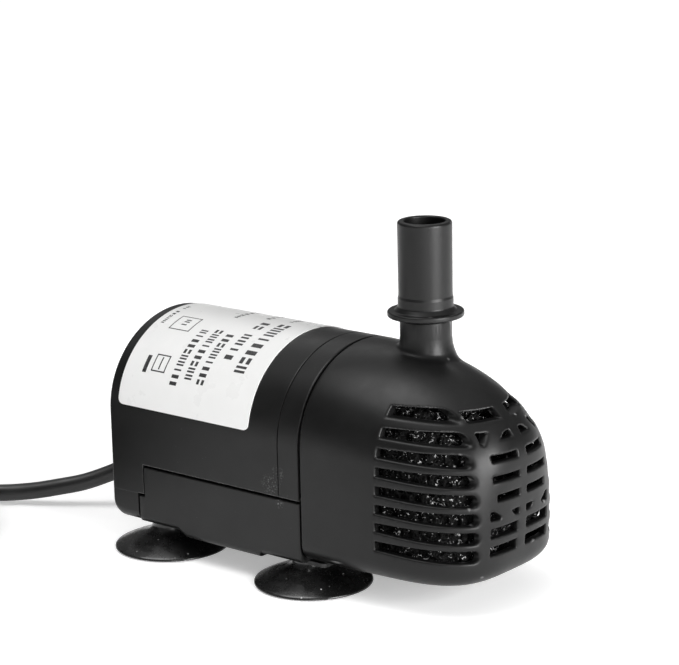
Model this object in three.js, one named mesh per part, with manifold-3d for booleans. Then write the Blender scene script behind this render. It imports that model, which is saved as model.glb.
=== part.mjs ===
// Submersible fountain pump: arch-section motor housing, slotted strainer nose,
// clip-on base with four suction cups, push-on outlet nozzle and a power lead.
// Millimetres, +Z up, +X along the motor axis towards the strainer nose.
// Every solid is drawn in a working frame whose X = 0 is the parting plane
// between motor housing and strainer; the last group shifts it so that the
// origin is the centre of the footprint on the standing surface.
import * as THREE from 'three';
import { mergeVertices } from 'three/addons/utils/BufferGeometryUtils.js';
import Module from 'manifold-3d';

// ---------------------------------------------------------------- dimensions
const SHIFT_X = 7.385;          // working frame -> part frame

const HALF_W = 22.08;           // body half width
const ARCH_Z = 30.57;           // where the straight sides meet the arch
const ARCH_RISE = 19.43;        // elliptical arch rise above ARCH_Z
const REAR_X = -54.87;          // rear face of the motor housing
const COLLAR_X = -5.87;         // housing / front collar line
const SEAM = 0.15;              // half of the parting gap at X = 0
const SPLIT_Z = 19.06;          // top edge of the base tray's side walls
const BASE_REAR_X = -45.0;      // rear end of the tall side walls
const BASE_STEP_X = -46.7;      // rear end of the tray below the small step
const BASE_STEP_Z = 12.4;       // height of the small step
const TRAY_BOTTOM = 4.9;        // underside of the tray between the cups
const PAD_Z = 6.2;              // underside of the tray at the cups
const WALL = 2.0;               // moulded wall
const GAP = 0.3;                // clearance between neighbouring pieces

const AXIS_Z = 29.2;            // motor axis height
const CUP_X = [-43.35, -2.32];  // suction cup centres
const CUP_Y = 15.53;
const CUP_R = 12.7;

const NOSE_A = 41.283;          // nose length from the parting plane
const NOSE_ZM = 29.83;          // height of the nose tip
const NOSE_M = 2.232;           // exponent of the upper nose profile
const NOSE_BR = 4.62;           // bottom round of the nose
const NOSE_TAP = 1.70;          // pull-back of the lower nose
const NOSE_N0 = 3.681, NOSE_N1 = 1.655, NOSE_ZK = 30.67, NOSE_WK = 8.0;
const NOSE_RB = 3.76;           // bottom edge radius of the strainer sides
const NOSE_ZB = 6.3;            // underside of the strainer at the parting plane
const DROOP = 0.055;            // slow downward rake of the nose
const COVER_T = 1.8;            // strainer wall

const SLOT_X0 = 20.19;          // square ends of the side slots
const ROW_Z0 = 40.81, ROW_PITCH = 3.873;
const SLOT_H = 2.1;

const OUT_X = 14.06, OUT_Y = 3.27;  // outlet axis
const OUT_R = 5.45;             // stub outside radius
const OUT_BORE = 3.1;
const NOZ_R = 5.71;             // push-on nozzle outside radius
const NOZ_Z0 = 56.3, NOZ_TOP = 76.43;
const FLANGE_R = 8.04;

const CORD_D = 4.0;
const CORD_EXIT = [-54.87, 2.0, 12.0];
const COIL_C = [-105.6, -51.7];
const COIL_RO = 26.7, COIL_RI = 17.4, COIL_PITCH = 4.1, COIL_Z = 2.8;
const COIL_TURNS = 2.0869;       // spiral turns in each of the five layers
const COIL_TOP = 21.3;           // top of the winding
const PLUG_Z = 26.4;             // plug axis, lying on the winding

// ------------------------------------------------------------------- kernel
const wasm = await Module();
wasm.setup();

function clean(geo) {
  let g = geo.clone();
  g.deleteAttribute('normal');
  g.deleteAttribute('uv');
  g = mergeVertices(g, 1e-5);
  const p = g.attributes.position, ix = g.index.array, keep = [];
  for (let i = 0; i < ix.length; i += 3) {
    const [a, b, c] = [ix[i], ix[i + 1], ix[i + 2]];
    if (a !== b && b !== c && a !== c) keep.push(a, b, c);
  }
  let vol = 0;
  const A = new THREE.Vector3(), B = new THREE.Vector3(), C = new THREE.Vector3();
  for (let i = 0; i < keep.length; i += 3) {
    A.fromBufferAttribute(p, keep[i]); B.fromBufferAttribute(p, keep[i + 1]); C.fromBufferAttribute(p, keep[i + 2]);
    vol += A.dot(B.clone().cross(C));
  }
  if (vol < 0) for (let i = 0; i < keep.length; i += 3) [keep[i + 1], keep[i + 2]] = [keep[i + 2], keep[i + 1]];
  g.setIndex(keep);
  return g;
}
function solid(geo) {
  const g = clean(geo);
  return new wasm.Manifold(new wasm.Mesh({
    numProp: 3,
    vertProperties: new Float32Array(g.attributes.position.array),
    triVerts: new Uint32Array(g.index.array),
  }));
}
function geometry(m) {
  const r = m.getMesh();
  const g = new THREE.BufferGeometry();
  g.setAttribute('position', new THREE.BufferAttribute(new Float32Array(r.vertProperties), 3));
  g.setIndex(Array.from(r.triVerts));
  return g;
}
const join = (...s) => s.reduce((a, b) => a.add(b));
const cut = (a, ...s) => s.reduce((x, y) => x.subtract(y), a);

// ------------------------------------------------------------- basic shapes
const boxG = (x0, x1, y0, y1, z0, z1) =>
  new THREE.BoxGeometry(x1 - x0, y1 - y0, z1 - z0).translate((x0 + x1) / 2, (y0 + y1) / 2, (z0 + z1) / 2);
const box = (...a) => solid(boxG(...a));
// closed profile [[r, h], ...] turned about Z (h = z) or about X (h = x)
const latheZ = (prof, x = 0, y = 0, seg = 32) =>
  new THREE.LatheGeometry(prof.map(([r, h]) => new THREE.Vector2(r, h)), seg).rotateX(Math.PI / 2).translate(x, y, 0);
const latheX = (prof, y = 0, z = 0, seg = 32) =>
  new THREE.LatheGeometry(prof.map(([r, h]) => new THREE.Vector2(r, h)), seg).rotateZ(-Math.PI / 2).translate(0, y, z);
const rodZ = (r, z0, z1, x, y, seg = 24) => latheZ([[0, z0], [r, z0], [r, z1], [0, z1]], x, y, seg);
const rodX = (r, x0, x1, y, z, seg = 24) => latheX([[0, x0], [r, x0], [r, x1], [0, x1]], y, z, seg);
const ringZ = (ri, ro, z0, z1, x, y, seg = 24) =>
  latheZ([[ri, z0], [ro, z0], [ro, z1], [ri, z1], [ri, z0]], x, y, seg);
const ringX = (ri, ro, x0, x1, y, z, seg = 24) =>
  latheX([[ri, x0], [ro, x0], [ro, x1], [ri, x1], [ri, x0]], y, z, seg);
// outline in (Y, Z) extruded along +X from x0 to x1
function alongX(outline, x0, x1) {
  const sh = new THREE.Shape(outline.map(([y, z]) => new THREE.Vector2(y, z)));
  const g = new THREE.ExtrudeGeometry(sh, { depth: x1 - x0, bevelEnabled: false, steps: 1 });
  // shape x -> Y, shape y -> Z, extrusion -> X
  g.applyMatrix4(new THREE.Matrix4().makeBasis(new THREE.Vector3(0, 1, 0), new THREE.Vector3(0, 0, 1), new THREE.Vector3(1, 0, 0)));
  return g.translate(x0, 0, 0);
}
// outline in (X, Z) extruded along Y from y0 to y1
function alongY(outline, y0, y1) {
  const sh = new THREE.Shape(outline.map(([x, z]) => new THREE.Vector2(x, z)));
  const g = new THREE.ExtrudeGeometry(sh, { depth: y1 - y0, bevelEnabled: false, steps: 1 });
  g.applyMatrix4(new THREE.Matrix4().makeBasis(new THREE.Vector3(1, 0, 0), new THREE.Vector3(0, 0, 1), new THREE.Vector3(0, 1, 0)));
  return g.translate(0, y0, 0);
}
// outline in (X, Y) extruded along Z
function alongZ(outline, z0, z1) {
  const sh = new THREE.Shape(outline.map(([x, y]) => new THREE.Vector2(x, y)));
  return new THREE.ExtrudeGeometry(sh, { depth: z1 - z0, bevelEnabled: false, steps: 1 }).translate(0, 0, z0);
}

// arch outline in (Y, Z), inset by t, from z0 upwards, bottom corner radius rb
function arch(t, z0, rb = 2, n = 18) {
  const w = HALF_W - t, r = ARCH_RISE - t, o = [];
  if (rb > 0) {
    for (let i = 0; i <= 3; i++) {
      const a = -Math.PI / 2 + (i / 3) * Math.PI / 2;
      o.push([w - rb + rb * Math.cos(a), z0 + rb + rb * Math.sin(a)]);
    }
  } else o.push([w, z0]);
  for (let i = 0; i <= n; i++) {
    const a = (i / n) * Math.PI;
    o.push([w * Math.cos(a), ARCH_Z + r * Math.sin(a)]);
  }
  if (rb > 0) {
    for (let i = 0; i <= 3; i++) {
      const a = Math.PI + (i / 3) * Math.PI / 2;
      o.push([-w + rb + rb * Math.cos(a), z0 + rb + rb * Math.sin(a)]);
    }
  } else o.push([-w, z0]);
  return o;
}
// stack of (x, inset) sections of the arch: rear edge rounding
function archLoft(stations, z0, rb, n = 18) {
  const rings = stations.map(([x, t]) => arch(t, z0 + t, rb, n).map(([y, z]) => [x, y, z]));
  return loft(rings);
}
function loft(rings, tipA = null, tipB = null) {
  const k = rings[0].length, pos = [], idx = [];
  rings.forEach(r => r.forEach(p => pos.push(...p)));
  const c0 = pos.length / 3;
  const mid = r => [0, 1, 2].map(i => r.reduce((s, p) => s + p[i], 0) / r.length);
  pos.push(...(tipA ?? mid(rings[0])));
  pos.push(...(tipB ?? mid(rings[rings.length - 1])));
  for (let i = 0; i + 1 < rings.length; i++) for (let j = 0; j < k; j++) {
    const a = i * k + j, b = i * k + (j + 1) % k, c = a + k, d = b + k;
    idx.push(a, c, b, b, c, d);
  }
  for (let j = 0; j < k; j++) {
    idx.push(c0, j, (j + 1) % k);
    const e = (rings.length - 1) * k;
    idx.push(c0 + 1, e + (j + 1) % k, e + j);
  }
  const g = new THREE.BufferGeometry();
  g.setAttribute('position', new THREE.BufferAttribute(new Float32Array(pos), 3));
  g.setIndex(idx);
  return g;
}

// --------------------------------------------------------- strainer surface
const rake = x => DROOP * (x > 24 ? x - 20 : x > 16 ? (x - 16) ** 2 / 16 : 0);
function noseInside(x, y, zs, t) {
  const z = zs + rake(x);
  const zt = ARCH_Z + ARCH_RISE - t, zb = NOSE_ZB + t, hw = HALF_W - t, a0 = NOSE_A - t;
  if (z >= zt || z <= zb) return false;
  let w, a;
  if (z > ARCH_Z) w = hw * Math.sqrt(Math.max(0, 1 - ((z - ARCH_Z) / (zt - ARCH_Z)) ** 2));
  else { const d = Math.min(1, Math.max(0, (zb + NOSE_RB - z) / NOSE_RB)); w = hw - NOSE_RB * (1 - Math.sqrt(1 - d * d)); }
  if (z > NOSE_ZM) a = a0 * Math.max(0, 1 - ((z - NOSE_ZM) / (zt - NOSE_ZM)) ** NOSE_M) ** (1 / NOSE_M);
  else {
    const d = Math.min(1, Math.max(0, (zb + NOSE_BR - z) / NOSE_BR));
    a = a0 - NOSE_TAP * ((NOSE_ZM - z) / (NOSE_ZM - zb)) ** 2 - NOSE_BR * (1 - Math.sqrt(1 - d * d));
  }
  const n = NOSE_N0 + (NOSE_N1 - NOSE_N0) / (1 + Math.exp(-(z - NOSE_ZK) / NOSE_WK));
  if (w <= 0 || a <= 0) return false;
  return (Math.abs(y) / w) ** n + (Math.max(x, 0) / a) ** n < 1;
}
function noseBody(x0, t, stations, k = 44) {
  const zc = x => 28.6 - rake(x);
  const rings = [];
  for (const x of stations) {
    if (x < x0 || x >= NOSE_A - t - 0.05) continue;
    const ring = [];
    for (let j = 0; j < k; j++) {
      const a = (j / k) * 2 * Math.PI;
      // crowd the rays towards the bottom corners
      const cy = Math.cos(a), cz = Math.sin(a);
      let lo = 0, hi = 60;
      for (let i = 0; i < 34; i++) {
        const m = (lo + hi) / 2;
        if (noseInside(x, m * cy, zc(x) + m * cz, t)) lo = m; else hi = m;
      }
      ring.push([x, lo * cy, zc(x) + lo * cz]);
    }
    rings.push(ring);
  }
  const xt = NOSE_A - t;
  return loft(rings, [rings[0][0][0], 0, zc(rings[0][0][0])], [xt - 0.01, 0, 28.9 - rake(xt)]);
}
const ST = [SEAM, 8, 15, 21, 26, 30, 33.5, 36.4, 38.6, 40.2, 41.0];

// ------------------------------------------------------------------- pieces
const parts = [];
const colours = {
  shell: [0x2b2b2c, 0.55, 0], cover: [0x262627, 0.5, 0], rubber: [0x101011, 0.35, 0],
  foam: [0x141414, 1, 0], label: [0xf2f2f0, 0.4, 0], steel: [0x9a9da1, 0.35, 1],
  copper: [0xb06a35, 0.4, 1], ceramic: [0xe8e6e0, 0.3, 0], magnet: [0x4a4a4d, 0.5, 0.4],
  board: [0x1d5a35, 0.5, 0], epoxy: [0x1a1a1a, 0.4, 0], nylon: [0xd8d8d4, 0.5, 0],
};
function piece(name, s, key) {
  const g = s.getMesh ? geometry(s) : clean(s);
  const [c, r, m] = colours[key];
  const mesh = new THREE.Mesh(g, new THREE.MeshStandardMaterial({ color: c, roughness: r, metalness: m }));
  mesh.name = name;
  parts.push(mesh);
}

// Motor housing: arch shell, closed at the rear, narrower below the split line
// where the base tray wraps round it, full width in the low rear block.
{
  const z0 = PAD_Z;
  let h = solid(archLoft([[REAR_X, 2.4], [REAR_X + 0.7, 1.0], [REAR_X + 2.4, 0], [COLLAR_X - 0.08, 0]], z0 - 0.0001, 2.2));
  // recess for the tray walls, each side, and the low rear part
  for (const s of [-1, 1]) {
    const y = (a, b) => (s > 0 ? [a, b] : [-b, -a]);
    h = cut(h, box(BASE_REAR_X - GAP, 5, ...y(19.9, 30), 0, SPLIT_Z + GAP));
    h = cut(h, box(BASE_STEP_X - GAP, BASE_REAR_X - GAP + 0.01, ...y(19.9, 30), 0, BASE_STEP_Z + GAP));
  }
  h = cut(h, box(BASE_STEP_X - GAP, 5, -30, 30, 0, 7.4));
  const cav = solid(alongX([...arch(WALL, 9.4, 2, 18)].map(([y, z]) => [z < SPLIT_Z + 2.3 && Math.abs(y) > 18 ? Math.sign(y) * 18 : y, z]), REAR_X + WALL + 0.2, 2));
  h = cut(h, cav);
  // screw bosses
  for (const [y, z] of [[14.6, 38.9], [-14.6, 38.9], [15.6, 12.2], [-15.6, 12.2]]) {
    const b = solid(rodX(3.1, -11.4, COLLAR_X - 1.2, y, z, 14));
    const outer = solid(alongX(arch(0.6, 7.9, 2, 18).map(([yy, zz]) => [zz < SPLIT_Z + 0.9 && Math.abs(yy) > 19.3 ? Math.sign(yy) * 19.3 : yy, zz]), -20, 0));
    h = join(h, b.intersect(outer));
    h = cut(h, solid(rodX(1.35, -10.9, 0, y, z, 10)));
  }
  // lead hole in the rear wall
  h = cut(h, solid(rodX(2.4, -60, -50, CORD_EXIT[1], CORD_EXIT[2], 12)));
  piece('motor_housing', h, 'shell');
}

// Front collar: ring between the housing and the strainer.
{
  let c = solid(alongX(arch(0, 7.4, 2.2), COLLAR_X + 0.08, -SEAM));
  for (const s of [-1, 1]) c = cut(c, s > 0 ? box(-10, 5, 19.9, 30, 0, SPLIT_Z + GAP) : box(-10, 5, -30, -19.9, 0, SPLIT_Z + GAP));
  const inner = arch(WALL, 9.4, 2, 18).map(([y, z]) => [z < SPLIT_Z + 2.3 && Math.abs(y) > 18 ? Math.sign(y) * 18 : y, z]);
  c = cut(c, solid(alongX(inner, -10, 5)));
  piece('front_collar', c, 'shell');
}

// Base tray: cradle under the housing with side walls, a small step at the rear
// and a short tongue below the strainer that carries the front cups.
{
  let t = solid(alongX(arch(0, TRAY_BOTTOM, 2.6, 6), BASE_STEP_X, -SEAM));
  t = cut(t, box(-80, 20, -40, 40, SPLIT_Z, 90));
  t = cut(t, box(-80, BASE_REAR_X, -40, 40, BASE_STEP_Z, 90));
  t = cut(t, box(-80, 20, -20.2, 20.2, 7.1, 90));
  t = join(t, box(-1.5, 4.2, -19.6, 19.6, TRAY_BOTTOM + 0.1, 5.95));
  // raised pads over the cups
  for (const x of CUP_X) for (const s of [-1, 1])
    t = cut(t, box(x - 9.2, x + 9.2, s > 0 ? 8 : -30, s > 0 ? 30 : -8, 0, x > -20 ? 5.75 : PAD_Z));
  for (const x of CUP_X) for (const s of [-1, 1])
    t = cut(t, solid(rodZ(2.5, 0, 20, x, s * CUP_Y, 16)));
  piece('base_tray', t, 'shell');
}

// Strainer cover with outlet stub.
{
  let c = solid(noseBody(SEAM, 0, ST, 32));
  const stub = solid(latheZ([[0, 40], [9.2, 40], [9.2, 46.6], [7.6, 48.2], [6.4, 49.3], [5.75, 50.6], [OUT_R, 52.2], [OUT_R, NOZ_Z0 - 0.5], [4.35, NOZ_Z0 - 0.5], [4.2, 64], [0, 64]], OUT_X, OUT_Y, 28));
  c = join(c, stub);
  c = cut(c, solid(noseBody(-5, COVER_T, [-5, 8, 15, 21, 26, 30.5, 34.3, 37.2, 38.9], 28)).add(box(-5, 1, -1, 1, 20, 22)));
  // boss under the stub that seats on the outlet seal
  const inner = solid(noseBody(-5, COVER_T - 0.4, [-5, 8, 15, 21, 30, 37], 32));
  c = join(c, solid(rodZ(6.3, 45.0, 52, OUT_X, OUT_Y, 24)).intersect(inner));
  c = cut(c, solid(rodZ(OUT_BORE, 40, 70, OUT_X, OUT_Y, 20)));
  const cutters = [];
  // side slots, both sides
  const ends = [31.6, 34.9, 37.2, 38.4, 38.9, 39.0, 39.0, 39.0];
  for (let i = 0; i < 8; i++) {
    const z = ROW_Z0 - ROW_PITCH * i, h = SLOT_H / 2, xe = ends[i];
    const dz = rake(xe);
    const o = [[SLOT_X0, z - h], [xe - 0.9, z - h - dz], [xe, z - 0.4 * h - dz], [xe, z + 0.4 * h - dz], [xe - 0.9, z + h - dz], [SLOT_X0, z + h]];
    const yi = i === 0 ? 10.6 : 10.9;
    cutters.push(solid(alongY(o, -30, -yi)), solid(alongY(o, yi, 30)));
  }
  // front slots: full rows, and a plain ring band round the middle rows
  const fz = i => ROW_Z0 - ROW_PITCH * (i - 1) - rake(41) + 0.1;
  const win = (y0, y1, z0, z1) => { cutters.push(solid(boxG(30, 60, y0, y1, z0, z1)), solid(boxG(30, 60, -y1, -y0, z0, z1))); };
  win(1.6, 8.7, 39.0, 40.8);
  win(1.4, 8.4, fz(3) - 0.65, fz(3) + 0.65);
  win(1.4, 8.8, fz(4) - 0.65, fz(4) + 0.65);
  win(1.4, 8.4, fz(5) - 0.65, fz(5) + 0.65);
  win(1.4, 9.6, fz(7) - 0.95, fz(7) + 0.95);
  win(1.4, 9.5, fz(8) - 0.95, fz(8) + 0.95);
  for (const s of [-1, 1]) {
    const tri = (pts) => cutters.push(solid(alongX(pts.map(([y, z]) => [s * y, z]), 30, 60)));
    tri([[7.0, 37.0], [9.1, 37.0], [9.1, 34.9], [8.7, 34.9]]);
    tri([[1.5, 35.5], [4.7, 35.5], [3.4, 36.8], [1.5, 36.8]]);
    tri([[7.3, 19.6], [9.6, 19.6], [9.6, 21.5], [8.7, 21.5]]);
    tri([[1.5, 19.6], [2.6, 19.6], [3.9, 20.7], [1.5, 20.7]]);
  }
  for (const k of cutters) c = cut(c, k);
  piece('strainer_cover', c, 'cover');
}

// Push-on outlet nozzle with a flange.
piece('outlet_nozzle', latheZ([
  [4.66, NOZ_Z0], [FLANGE_R - 0.3, NOZ_Z0], [FLANGE_R, NOZ_Z0 + 0.3], [FLANGE_R, NOZ_Z0 + 0.9], [FLANGE_R - 0.3, NOZ_Z0 + 1.2],
  [6.4, NOZ_Z0 + 1.2], [NOZ_R + 0.1, NOZ_Z0 + 2.0], [NOZ_R + 0.1, 60.2], [NOZ_R - 0.05, 60.8], [NOZ_R, 75.2], [NOZ_R - 0.35, 76.1], [NOZ_R - 0.9, NOZ_TOP],
  [4.5, 76.1], [4.35, 75.4], [4.35, 64.5], [4.55, 64.2], [4.66, NOZ_Z0]], OUT_X, OUT_Y, 24), 'cover');

// Foam pre-filter: block that fills the strainer, bored out round the volute.
{
  let f = solid(noseBody(3.0, COVER_T + 0.95, [3.0, 10, 16, 22, 27, 31, 34, 36.5, 38.0], 28));
  f = cut(f, box(-2, 50, -40, 40, 42.6, 60));
  f = cut(f, solid(rodX(15.45, -2, 20.2, 0, AXIS_Z, 28)), solid(rodX(10.2, 10, 50, 0, 28.6, 24)));
  f = cut(f, box(-2, 21.0, -9, 9, 28, 60));
  // slanting front cut
  const slab = boxG(0, 40, -40, 40, -40, 60);
  slab.rotateZ(THREE.MathUtils.degToRad(11)).translate(35.2, 0, 0);
  f = cut(f, solid(slab));
  piece('foam_filter', f, 'foam');
}

// Volute casing: cup round the impeller with an inlet eye, spider and nozzle.
{
  let v = solid(rodX(15, 2, 19.2, 0, AXIS_Z, 36));
  v = join(v, solid(rodZ(4.9, 34, 43.9, OUT_X, OUT_Y, 24)));
  v = cut(v, solid(rodX(13, -1, 17.4, 0, AXIS_Z, 32)));
  v = cut(v, solid(rodZ(OUT_BORE, 33, 60, OUT_X, OUT_Y, 20)));
  v = cut(v, solid(ringX(3.1, 6.2, 12, 25, 0, AXIS_Z, 20)));
  const arms = [];
  for (let i = 0; i < 3; i++) {
    const b = boxG(17.5, 19.1, -0.8, 0.8, 2.9, 6.6).translate(0, 0, 0);
    b.rotateX((i * 2 * Math.PI) / 3).translate(0, 0, AXIS_Z);
    arms.push(solid(b));
  }
  v = join(v, ...arms);
  v = cut(v, solid(rodX(1.8, 16, 25, 0, AXIS_Z, 14)));
  piece('volute_casing', v, 'shell');
}
piece('outlet_seal', ringZ(3.3, 4.8, 44.2, 44.7, OUT_X, OUT_Y, 20), 'rubber');

// Rotor: impeller, sleeve, bushes and ring magnet on a fixed ceramic shaft.
{
  let w = solid(rodX(11.6, 8.8, 10.2, 0, AXIS_Z, 32));
  w = join(w, solid(rodX(3.6, 9, 15.6, 0, AXIS_Z, 20)));
  for (let i = 0; i < 6; i++) {
    const o = [], q = [];
    for (let k = 0; k <= 5; k++) {
      const u = k / 5, r = 3.2 + u * 7.9, a = -u * 0.9, d = 0.55 / r;
      o.push([r * Math.cos(a + d), r * Math.sin(a + d)]);
      q.push([r * Math.cos(a - d), r * Math.sin(a - d)]);
    }
    const blade = alongX([...o, ...q.reverse()], 10.0, 15.4);
    blade.rotateX((i * Math.PI) / 3).translate(0, 0, AXIS_Z);
    w = join(w, solid(blade));
  }
  w = cut(w, solid(rodX(1.8, 0, 30, 0, AXIS_Z, 14)));
  piece('impeller', w, 'nylon');
}
piece('rotor_sleeve', ringX(3.3, 4.6, -36.8, 8.5, 0, AXIS_Z, 24), 'nylon');
piece('rotor_magnet', ringX(4.9, 7.8, -36.2, -13.3, 0, AXIS_Z, 24), 'magnet');
piece('bush_front', ringX(1.8, 3.0, 1, 8, 0, AXIS_Z, 16), 'ceramic');
piece('bush_rear', ringX(1.8, 3.0, -36.5, -29.5, 0, AXIS_Z, 16), 'ceramic');
piece('thrust_washer_front', ringX(1.8, 3.0, 15.9, 16.6, 0, AXIS_Z, 16), 'rubber');
piece('ceramic_shaft', rodX(1.5, -41.6, 18.9, 0, AXIS_Z, 14), 'ceramic');
piece('thrust_washer_rear', ringX(1.8, 3.0, -37.9, -37.2, 0, AXIS_Z, 16), 'rubber');
piece('shaft_seat_rear', ringX(1.8, 5.2, -42.4, -38.2, 0, AXIS_Z, 18), 'rubber');

// Rotor can: thin cup that keeps the water out of the stator, with its flange.
{
  const flange = arch(2.35, 9.75, 2, 16).map(([y, z]) => [z < SPLIT_Z + 2.6 && Math.abs(y) > 17.65 ? Math.sign(y) * 17.65 : y, z]);
  let c = join(solid(rodX(9.3, -44.2, -1, 0, AXIS_Z, 28)), solid(alongX(flange, -2.6, -0.6)));
  c = cut(c, solid(rodX(8.4, -42.8, 5, 0, AXIS_Z, 28)));
  for (const [y, z] of [[14.6, 38.9], [-14.6, 38.9], [15.6, 12.2], [-15.6, 12.2]]) c = cut(c, solid(rodX(1.4, -5, 5, y, z, 10)));
  piece('rotor_can', c, 'shell');
}
// Seal ring behind the can flange
piece('can_seal', ringX(9.65, 11.4, -4.4, -2.95, 0, AXIS_Z, 28), 'rubber');
[[14.6, 38.9], [-14.6, 38.9], [15.6, 12.2], [-15.6, 12.2]].forEach(([y, z], i) =>
  piece(`can_screw_${i + 1}`, latheX([[0, -10.3], [1.05, -9.8], [1.05, -0.3], [2.0, -0.3], [1.9, 0.8], [1.3, 1.3], [0, 1.4]], y, z, 12), 'steel'));

// Stator: laminated core with six teeth, six coils, end insulators.
{
  let c = solid(ringX(14.2, 17.3, -35, -14.5, 0, AXIS_Z, 36));
  const bits = [];
  for (let i = 0; i < 6; i++) {
    const t = boxG(-35, -14.5, -2, 2, 10.4, 14.6).rotateX((i * Math.PI) / 3).translate(0, 0, AXIS_Z);
    const sh = [];
    for (let k = 0; k <= 4; k++) { const a = Math.PI / 2 + (k / 4 - 0.5) * 0.78; sh.push([9.65 * Math.cos(a), 9.65 * Math.sin(a)]); }
    for (let k = 4; k >= 0; k--) { const a = Math.PI / 2 + (k / 4 - 0.5) * 0.78; sh.push([10.7 * Math.cos(a), 10.7 * Math.sin(a)]); }
    const p = alongX(sh, -35, -14.5).rotateX((i * Math.PI) / 3).translate(0, 0, AXIS_Z);
    bits.push(solid(t), solid(p));
  }
  piece('stator_core', join(c, ...bits), 'steel');
}
for (let i = 0; i < 6; i++) {
  const rr = (x0, x1, y0, y1, r) => {
    const s = [];
    for (const [cx, cy, a0] of [[x1 - r, y1 - r, 0], [x0 + r, y1 - r, 90], [x0 + r, y0 + r, 180], [x1 - r, y0 + r, 270]])
      for (let k = 0; k <= 2; k++) { const a = THREE.MathUtils.degToRad(a0 + k * 45); s.push(new THREE.Vector2(cx + r * Math.cos(a), cy + r * Math.sin(a))); }
    return s;
  };
  const sh = new THREE.Shape(rr(-37.2, -12.3, -4.2, 4.2, 2.2));
  sh.holes.push(new THREE.Path(rr(-35.35, -14.15, -2.35, 2.35, 0.6)));
  const g = new THREE.ExtrudeGeometry(sh, { depth: 2.2, bevelEnabled: false, steps: 1 }).translate(0, 0, 11.15);
  g.rotateX((i * Math.PI) / 3).translate(0, 0, AXIS_Z);
  piece(`stator_coil_${i + 1}`, g, 'copper');
}
piece('stator_insulator_front', ringX(14.4, 17.2, -14.1, -11.8, 0, AXIS_Z, 28), 'nylon');
piece('stator_insulator_rear', ringX(14.4, 17.2, -37.7, -35.4, 0, AXIS_Z, 28), 'nylon');
piece('potting_ring', ringX(9.7, 17.2, -43.6, -38.1, 0, AXIS_Z, 28), 'epoxy');

// Driver board with its parts, behind the rotor can.
{
  let b = solid(rodX(16.2, -46.4, -45.0, 0, AXIS_Z, 32));
  b = cut(b, box(-50, -40, -20, 20, 0, 15.6));
  piece('driver_board', b, 'board');
}
piece('driver_chip', boxG(-48.1, -46.7, -4, 4, 30, 36.5), 'epoxy');
piece('hall_sensor', boxG(-44.7, -43.9, 11.2, 15.2, 27.4, 31), 'epoxy');
piece('board_capacitor', rodX(3.1, -51.9, -46.7, 7.5, 24.5, 14), 'steel');

// Label sheet that wraps over the arch of the housing (plain, no lettering).
{
  const g0 = 0.06, t = 0.28, out = [], inn = [];
  for (let i = 0; i <= 18; i++) {
    const a = Math.min(Math.PI - 0.0993, Math.max(0.0993, (i / 18) * Math.PI));
    out.push([(HALF_W + g0 + t) * Math.cos(a), ARCH_Z + (ARCH_RISE + g0 + t) * Math.sin(a)]);
    inn.push([(HALF_W + g0) * Math.cos(a), ARCH_Z + (ARCH_RISE + g0) * Math.sin(a)]);
  }
  piece('label', alongX([...out, ...inn.reverse()], -51.8, -13.9), 'label');
}

// Suction cups: thin bell, neck and barbed button through the tray.
CUP_X.forEach((x, i) => [-1, 1].forEach(s => {
  const zf = i === 1 ? 5.75 : PAD_Z;   // underside of the tray above this cup
  const prof = [[0, 2.1], [4.2, 2.0], [8.6, 1.35], [CUP_R - 1.4, 0], [CUP_R - 0.1, 0], [CUP_R, 0.2], [CUP_R - 0.25, 0.75], [9.2, 2.15], [6.2, 3.1], [4.3, 4.3], [4.3, zf - GAP],
    [2.1, zf - GAP], [2.1, 8.05], [0, 8.05]];
  // neck passes through the tray; the head is held in the floor's thickness
  const p = prof.map(([r, z]) => [r, Math.min(z, 6.95)]);
  piece(`suction_cup_${i ? 'front' : 'rear'}_${s < 0 ? 'left' : 'right'}`, latheZ(p, x, s * CUP_Y, 24), 'rubber');
}));

// ------------------------------------------------------------------- the lead
piece('strain_relief', latheX([[2.3, -64.9], [2.75, -64.9], [3.0, -61], [3.5, -57.5], [4.4, -56.6], [4.4, REAR_X - GAP], [2.3, REAR_X - GAP], [2.3, -64.9]], CORD_EXIT[1], CORD_EXIT[2], 16), 'rubber');

function coilPath() {
  const P = [], c = COIL_C, dr = COIL_RO - COIL_RI, th0 = THREE.MathUtils.degToRad(116.9);
  let th = th0, z = COIL_Z, r = COIL_RO;
  const put = () => P.push(new THREE.Vector3(c[0] + r * Math.cos(th), c[1] + r * Math.sin(th), z));
  const run = (turns, r1, z1, n) => {
    const a = th, rr = r, zz = z;
    for (let i = 1; i <= n; i++) {
      const u = i / n, s = u * u * (3 - 2 * u);
      th = a + u * turns * 2 * Math.PI; r = rr + (r1 - rr) * u; z = zz + (z1 - zz) * s; put();
    }
  };
  put();
  for (let k = 0; k < 5; k++) {
    run(COIL_TURNS, k % 2 ? COIL_RO : COIL_RI, z, 46);
    if (k < 4) run(0.3, r, z + COIL_PITCH, 8);
  }
  const inCoil = P.length;
  run(0.3, r, 23.65, 8);           // up on to the top of the winding
  run(0.3, 26, 25.0, 10);          // outwards across it
  const m = [c[0] + (r - 16) * Math.cos(th), c[1] + (r - 16) * Math.sin(th)];
  for (let i = 1; i <= 6; i++) {
    const t = th + (i / 6) * (Math.PI / 3);
    P.push(new THREE.Vector3(m[0] + 16 * Math.cos(t), m[1] + 16 * Math.sin(t), 25.0 + (PLUG_Z - 25.0) * (i / 6)));
  }
  th += Math.PI / 3;
  return { P, inCoil, th, r, z };
}
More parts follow.
